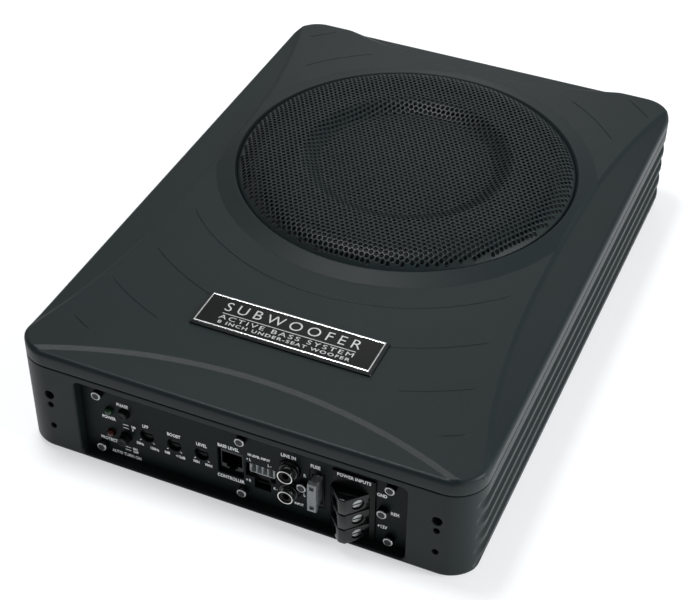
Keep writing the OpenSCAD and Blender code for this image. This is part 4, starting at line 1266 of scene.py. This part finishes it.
for key, z, d in (("phase", BUTTON_Z[0], 3.2), ("mode", BUTTON_Z[1], 1)):
    node = key + "_button"
    length = (high(node).y - low(node).y) / MM
    profile = [(0.01, 0.25), (1.2, 0.22), (1.5, 0.05), (2.35, 0.0), (2.65, 0.12), (2.8, 0.45)]
    profile += [(2.8, 5.0), (1.75, 5.0), (1.75, length)]
    profile = [(r * (high(node).z - low(node).z) / (5.6 * MM), h) for r, h in profile]
    cap = turned(profile, 56, front_point(BUTTON_X, d, z), BLACK_MATT, node + "_cap")
    settle(cap, key + "_key", [node])

for node, z, lens in (("power_led", LED_Z[0], GREEN), ("protect_led", LED_Z[1], RED)):
    front_d = (low(node).y - FRONT) / MM
    back_d = (high(node).y - FRONT) / MM
    dome_profile = [(2.19 * math.sin(math.radians(a)), front_d + 2.2 * (1 - math.cos(math.radians(a))))
                    for a in (0.5, *range(10, 91, 10))]
    dome_profile += [(2.19, back_d - 0.9), (2.58, back_d - 0.88), (2.58, back_d)]
    lamp = turned(dome_profile, 48, front_point(LED_X, 0, z), lens, node + "_lens", angle=40)
    settle(lamp, "enclosure", [node])

for x, which in zip(POT_X, ("crossover", "boost", "level")):
    node = which + "_shaft"
    front_d, back_d = (low(node).y - FRONT) / MM, (high(node).y - FRONT) / MM
    shaft = rod(front_point(x, front_d, POT_Z), BACK, 2.88, back_d - front_d - 0.1, 0.3, SHAFT_BLACK, node)
    shaft = carve(shaft, [upright(x - 4, POT_Z - 0.55, x + 4, POT_Z + 0.55, front_d - 1, front_d + 1.2)])
    shaft.name = node + "_slotted"
    settle(shaft, which + "_control", [node])


# ---- sockets and fuse

# Profiles of (radius, depth) from each part's mouth
sleeve_profile = [(3.5, 10.8), (3.5, 0.35), (3.58, 0.1), (3.75, 0.0), (3.95, 0.0), (4.1, 0.1), (4.14, 0.3),
                  (4.14, 3.6), (3.98, 3.75), (3.93, 4.0), (3.93, 10.8)]
insert_profile = [(3.38, 9.8), (3.38, 0.3), (3.2, 0.08), (2.9, 0.0), (2.1, 0.0), (1.85, 0.12), (1.68, 0.4),
                  (1.68, 8)]
collar_profile = [(4.0, 6.0), (4.0, 0.2), (4.15, 0.0), (4.7, 0.0), (4.95, 0.15), (5.05, 0.45), (5.05, 1.5),
                  (5.35, 1.75), (5.58, 2.1), (5.58, 6.0)]
sleeves = [turned(sleeve_profile, 64, front_point(RCA_X, -1, z), NICKEL, close=True) for z in RCA_Z]
settle(join(sleeves, "rca_plug_sleeves"), "enclosure", ["rca_sleeves"])
inserts = [turned(insert_profile, 56, front_point(RCA_X, -0.2, z), BLACK_MATT) for z in RCA_Z]
settle(join(inserts, "rca_inserts"), "enclosure", ["rca_centres"])
collars = [turned(collar_profile, 56, front_point(RCA_X, 3, z), BLACK_GLOSS, close=True)
           for z in RCA_Z]
collars.append(block(29, 7.55, 14.6, (15.9, 14.8, 27.3), 0.3, BLACK_GLOSS))
settle(join(collars, "rca_socket_body"), "enclosure", ["rca_block"])


def fuse_plate(half_w, half_h, d0, d1, *finish, shift=0.0):
    """A plate centred on the fuse, or shift above its centre."""
    z = FUSE_Z + shift
    return upright(FUSE_X - half_w, z - half_h, FUSE_X + half_w, z + half_h, d0, d1, *finish)


handle = fuse_plate(2.5, 9.5, -0.98, 1.98, 0.45, SMOKY)
handle = carve(handle, [fuse_plate(1.2, 1.3, -1.6, 0.4, shift=side * 6.6) for side in (-1, 1)])
stem = fuse_plate(2.15, 8.5, 1.9, 10.8, 0.35, SMOKY)
ribs = [block(FUSE_X + s * 2.15, 3.2, FUSE_Z - 7 + 2.0 * k, (0.5, 6.6, 0.7), 0.15, SMOKY)
        for s in (-1, 1) for k in range(8)]
settle(join([handle, stem] + ribs, "fuse_housing"), "fuse", ["fuse_body"])
blades = [block(FUSE_X, 9.02, FUSE_Z + s * 6 - 2.5, (0.68, 9.9, 5.0), 0.08, NICKEL) for s in (-1, 1)]
settle(join(blades, "fuse_blade_pair"), "fuse", ["fuse_blades"])
link = tube_back(rounded_rect(FUSE_X, FUSE_Z, 0.5, 9, 0.2, 2), -0.1, 0.9, ZINC, "link")
link.name = "fuse_link"
settle(link, "fuse", [])

jack = block(JACK_X, 7.9, 14.6, (13.8, 15, 18.6), 0.35, BLACK_GLOSS)
settle(carve(jack, [
    block(JACK_X, 6, 21.6, (11.4, 14, 8.2)),
    block(JACK_X, 6, 19.7, (6.2, 14, 2.5)),
    block(JACK_X, 6, 18.2, (3.4, 9, 2.5)),
]), "enclosure", ["remote_jack"]).name = "remote_jack_shell"

shell = block(SOCKET_X, 8, 21.35, (14, 14, 7.1), 0.3, MILKY)
cells = [block(SOCKET_X + (i - 1.5) * 3.12, 6, 22.1, (2.75, 8.5, 5.6), 0.2, MILKY) for i in range(4)]
shell = carve(shell, cells)
foot = block(SOCKET_X, 14.2, 14.6, (14, 7.6, 7.0), 0.2, MILKY)
settle(join([shell, foot], "speaker_socket_shell"), "enclosure", ["speaker_socket"])
latch = block(SOCKET_X + 0.4, 8.4, 15.2, (8.6, 1.0, 5.9), 0.15, BLACK_MATT)
latch = carve(latch, [upright(SOCKET_X - 2.7, 16.4, SOCKET_X + 3.5, 19.4, 8.0, 10.0)])
backing = block(SOCKET_X + 0.4, 9.3, 15.2, (8.6, 0.6, 5.9), 0.1, BLACK_MATT)
settle(join([latch, backing], "speaker_socket_latch"), "enclosure", ["speaker_socket"])


# ---- woofer's surround, spider and tinsel leads

def hub_point(r, angle, z):
    """A point in metres round the woofer's axis; r and z in mm."""
    return (HUB.x + r * math.cos(angle) * MM, HUB.y + r * math.sin(angle) * MM, z * MM)


def sector_pieces(profile, count, steps, material, node):
    """A ring cut into radial sectors between the frame and the cone, each the profile swept over its own span
    of angle.
    """
    for k in range(count):
        angles = [TAU * (k + i / steps) / count for i in range(steps + 1)]
        verts = [hub_point(r, a, z) for r, z in profile for a in angles]
        faces = skin(len(profile), len(angles), closed=False, wrap=True)
        piece = mesh_object("%s_sector_%02d" % (node, k + 1), verts, faces, material, 60)
        weld(piece)
        smooth(piece, 60)
        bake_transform(piece)
        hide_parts(node)


SURROUND_Z = low("surround").z / MM
ROLL_MID = 77


def half_round(r, degrees):
    return [(ROLL_MID + r * math.cos(math.radians(a)), r * math.sin(math.radians(a))) for a in degrees]


roll = [(84.2 + 1.2, 0.0), (83.6, 0.0)] + half_round(5.85, range(8, 180, 8))
roll += [(71.1, 0.02), (66.6, 0.02), (66.6, 0.75), (70.4, 0.78)]
roll += half_round(6.45, range(172, 7, -8)) + [(83.8, 0.78), (85.4, 0.78)]
roll = [(r, SURROUND_Z + z) for r, z in roll]
sector_pieces(roll, 16, 6, SURROUND_RUBBER, "surround")

SPIDER_Z = low("spider").z / MM
SPIDER_R, SPIDER_RUN = 18.7, 38.2
waves = [SPIDER_R + SPIDER_RUN * i / 72 for i in range(73)]


def corrugation(r):
    """Height of the spider's waves at radius r, dying out at both rims."""
    edge = min(1.0, (57 - r) / 3, (r - 18.6) / 3)
    return 0.75 * (1 - math.cos((r - SPIDER_R) / SPIDER_RUN * 24 * math.pi / 2)) * max(edge, 0)


cloth = [(r, SPIDER_Z + corrugation(r)) for r in waves]
cloth += [(r, SPIDER_Z + 0.7 + corrugation(r) * 0.95) for r in reversed(waves)]
sector_pieces(cloth, 12, 5, CLOTH, "spider")


def curve_through(points, steps):
    """A smooth line through the points (Catmull-Rom), with steps spans between each pair."""
    knots = [Vector(q) for q in points]
    line = []
    for i in range(len(knots) - 1):
        a, b, c, d = (knots[max(i - 1, 0)], knots[i], knots[i + 1], knots[min(i + 2, len(knots) - 1)])
        for k in range(steps):
            t = k / steps
            line.append(0.5 * (2 * b + (c - a) * t + (2 * a - 5 * b + 4 * c - d) * t * t
                               + (3 * b - a - 3 * c + d) * t ** 3))
    return line + [knots[-1]]


def bent_tube(points, r, sides=12):
    """A closed round tube through points in metres, its rings set across the path."""
    path = [Vector(q) for q in points]
    verts = []
    for i, q in enumerate(path):
        ahead = path[min(i + 1, len(path) - 1)] - path[max(i - 1, 0)]
        side = ahead.cross(Vector((0, 0, 1))).normalized()
        over = side.cross(ahead).normalized()
        for k in range(sides):
            a = TAU * k / sides
            verts.append(q + (side * math.cos(a) + over * math.sin(a)) * r)
    faces = skin(len(path), sides)
    faces += [tuple(reversed(range(sides))), tuple(range((len(path) - 1) * sides, len(path) * sides))]
    return verts, faces


# From a basket terminal to the cone: across, toward the front of the hub, and up
LEAD_ROUTE = ((5, 60.4, 39.5), (6, 55, 39.6), (6, 49, 42.5), (6, 42, 46.6), (6, 37.6, 48.7))
for lead, x_sign in enumerate((-1, 1)):
    route = [(HUB.x + x_sign * x * MM, HUB.y - y * MM, z * MM) for x, y, z in LEAD_ROUTE]
    tube, tube_faces = bent_tube(curve_through(route, 6), 0.6 * MM)
    piece = mesh_object("tinsel_lead_%d" % (lead + 1), tube, tube_faces, COPPER, 60)
    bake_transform(piece)
    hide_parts("tinsel_leads")


# ---- studio

def area_light(name, place, target, size, power):
    light = bpy.data.lights.new(name, "AREA")
    light.energy = power
    light.size = size
    obj = bpy.data.objects.new(name, light)
    bpy.context.scene.collection.objects.link(obj)
    obj.location = place
    obj.rotation_euler = (Vector(target) - Vector(place)).to_track_quat("-Z", "Y").to_euler()
    return obj


def studio_floor():
    """A pale sweep far larger than the object, just under its feet."""
    verts = [(x, y, 0) for y in (-6, 0, 6) for x in (-6, 0, 6)]
    return mesh_object("studio_floor", verts, skin(3, 3, closed=False), FLOOR_WHITE, None)


FLOOR_WHITE = coated("studio_paper", (0.48, 0.49, 0.50), 0.8, vary=0.01, cloud=400, grain=2,
                     depth=0.01, specular=0.2)
paper = FLOOR_WHITE.node_tree
wire(paper, paper.nodes["Principled BSDF"],
     {"Emission Color": (0.97, 0.99, 1.0, 1), "Emission Strength": 0.54})
floor = studio_floor()
centre = Vector((0, MID_Y, 30 * MM))
lights = [
    area_light("overhead", (-0.28, 0.02, 1.35), centre, 0.32, 13),
    area_light("right_key", (1.35, -0.02, 0.50), centre, 0.5, 20),
    area_light("front_fill", (0.80, -0.62, 0.12), (0.06, -0.17, 0.03), 0.3, 0.8),
    area_light("rear_fill", (-0.45, 1.4, 1.0), centre, 0.5, 2),
]
world = bpy.data.worlds.new("studio")
world.use_nodes = True
sky = world.node_tree
background = sky.nodes["Background"]
background.inputs["Color"].default_value = (1, 1, 1, 1)
direction = sky.nodes.new("ShaderNodeTexCoord")
split = sky.nodes.new("ShaderNodeSeparateXYZ")
sky.links.new(direction.outputs["Generated"], split.inputs["Vector"])
sky.links.new(remap(sky, split.outputs["Y"], -0.8, 0.9, 0.12, 0.52), background.inputs["Strength"])
bpy.context.scene.world = world
bpy.context.scene.view_settings.view_transform = "Standard"

azimuth, elevation, roll = (math.radians(a) for a in (23.105, 39.989, 0.679))
toward = Vector((math.sin(azimuth) * math.cos(elevation), -math.cos(azimuth) * math.cos(elevation),
                 math.sin(elevation)))
across = Vector((math.cos(azimuth), math.sin(azimuth), 0))
upward = toward.cross(across)
across_rolled = across * math.cos(roll) + upward * math.sin(roll)
upward_rolled = upward * math.cos(roll) - across * math.sin(roll)
camera_data = bpy.data.cameras.new("camera")
camera_data.sensor_width = 36
camera_data.lens = 82.53
camera_data.clip_end = 20
camera = bpy.data.objects.new("camera", camera_data)
bpy.context.scene.collection.objects.link(camera)
turn = Matrix((across_rolled, upward_rolled, toward)).transposed().to_4x4()
camera.matrix_world = Matrix.Translation((264.1 * MM, -655.7 * MM, 597.35 * MM)) @ turn
bpy.context.scene.camera = camera
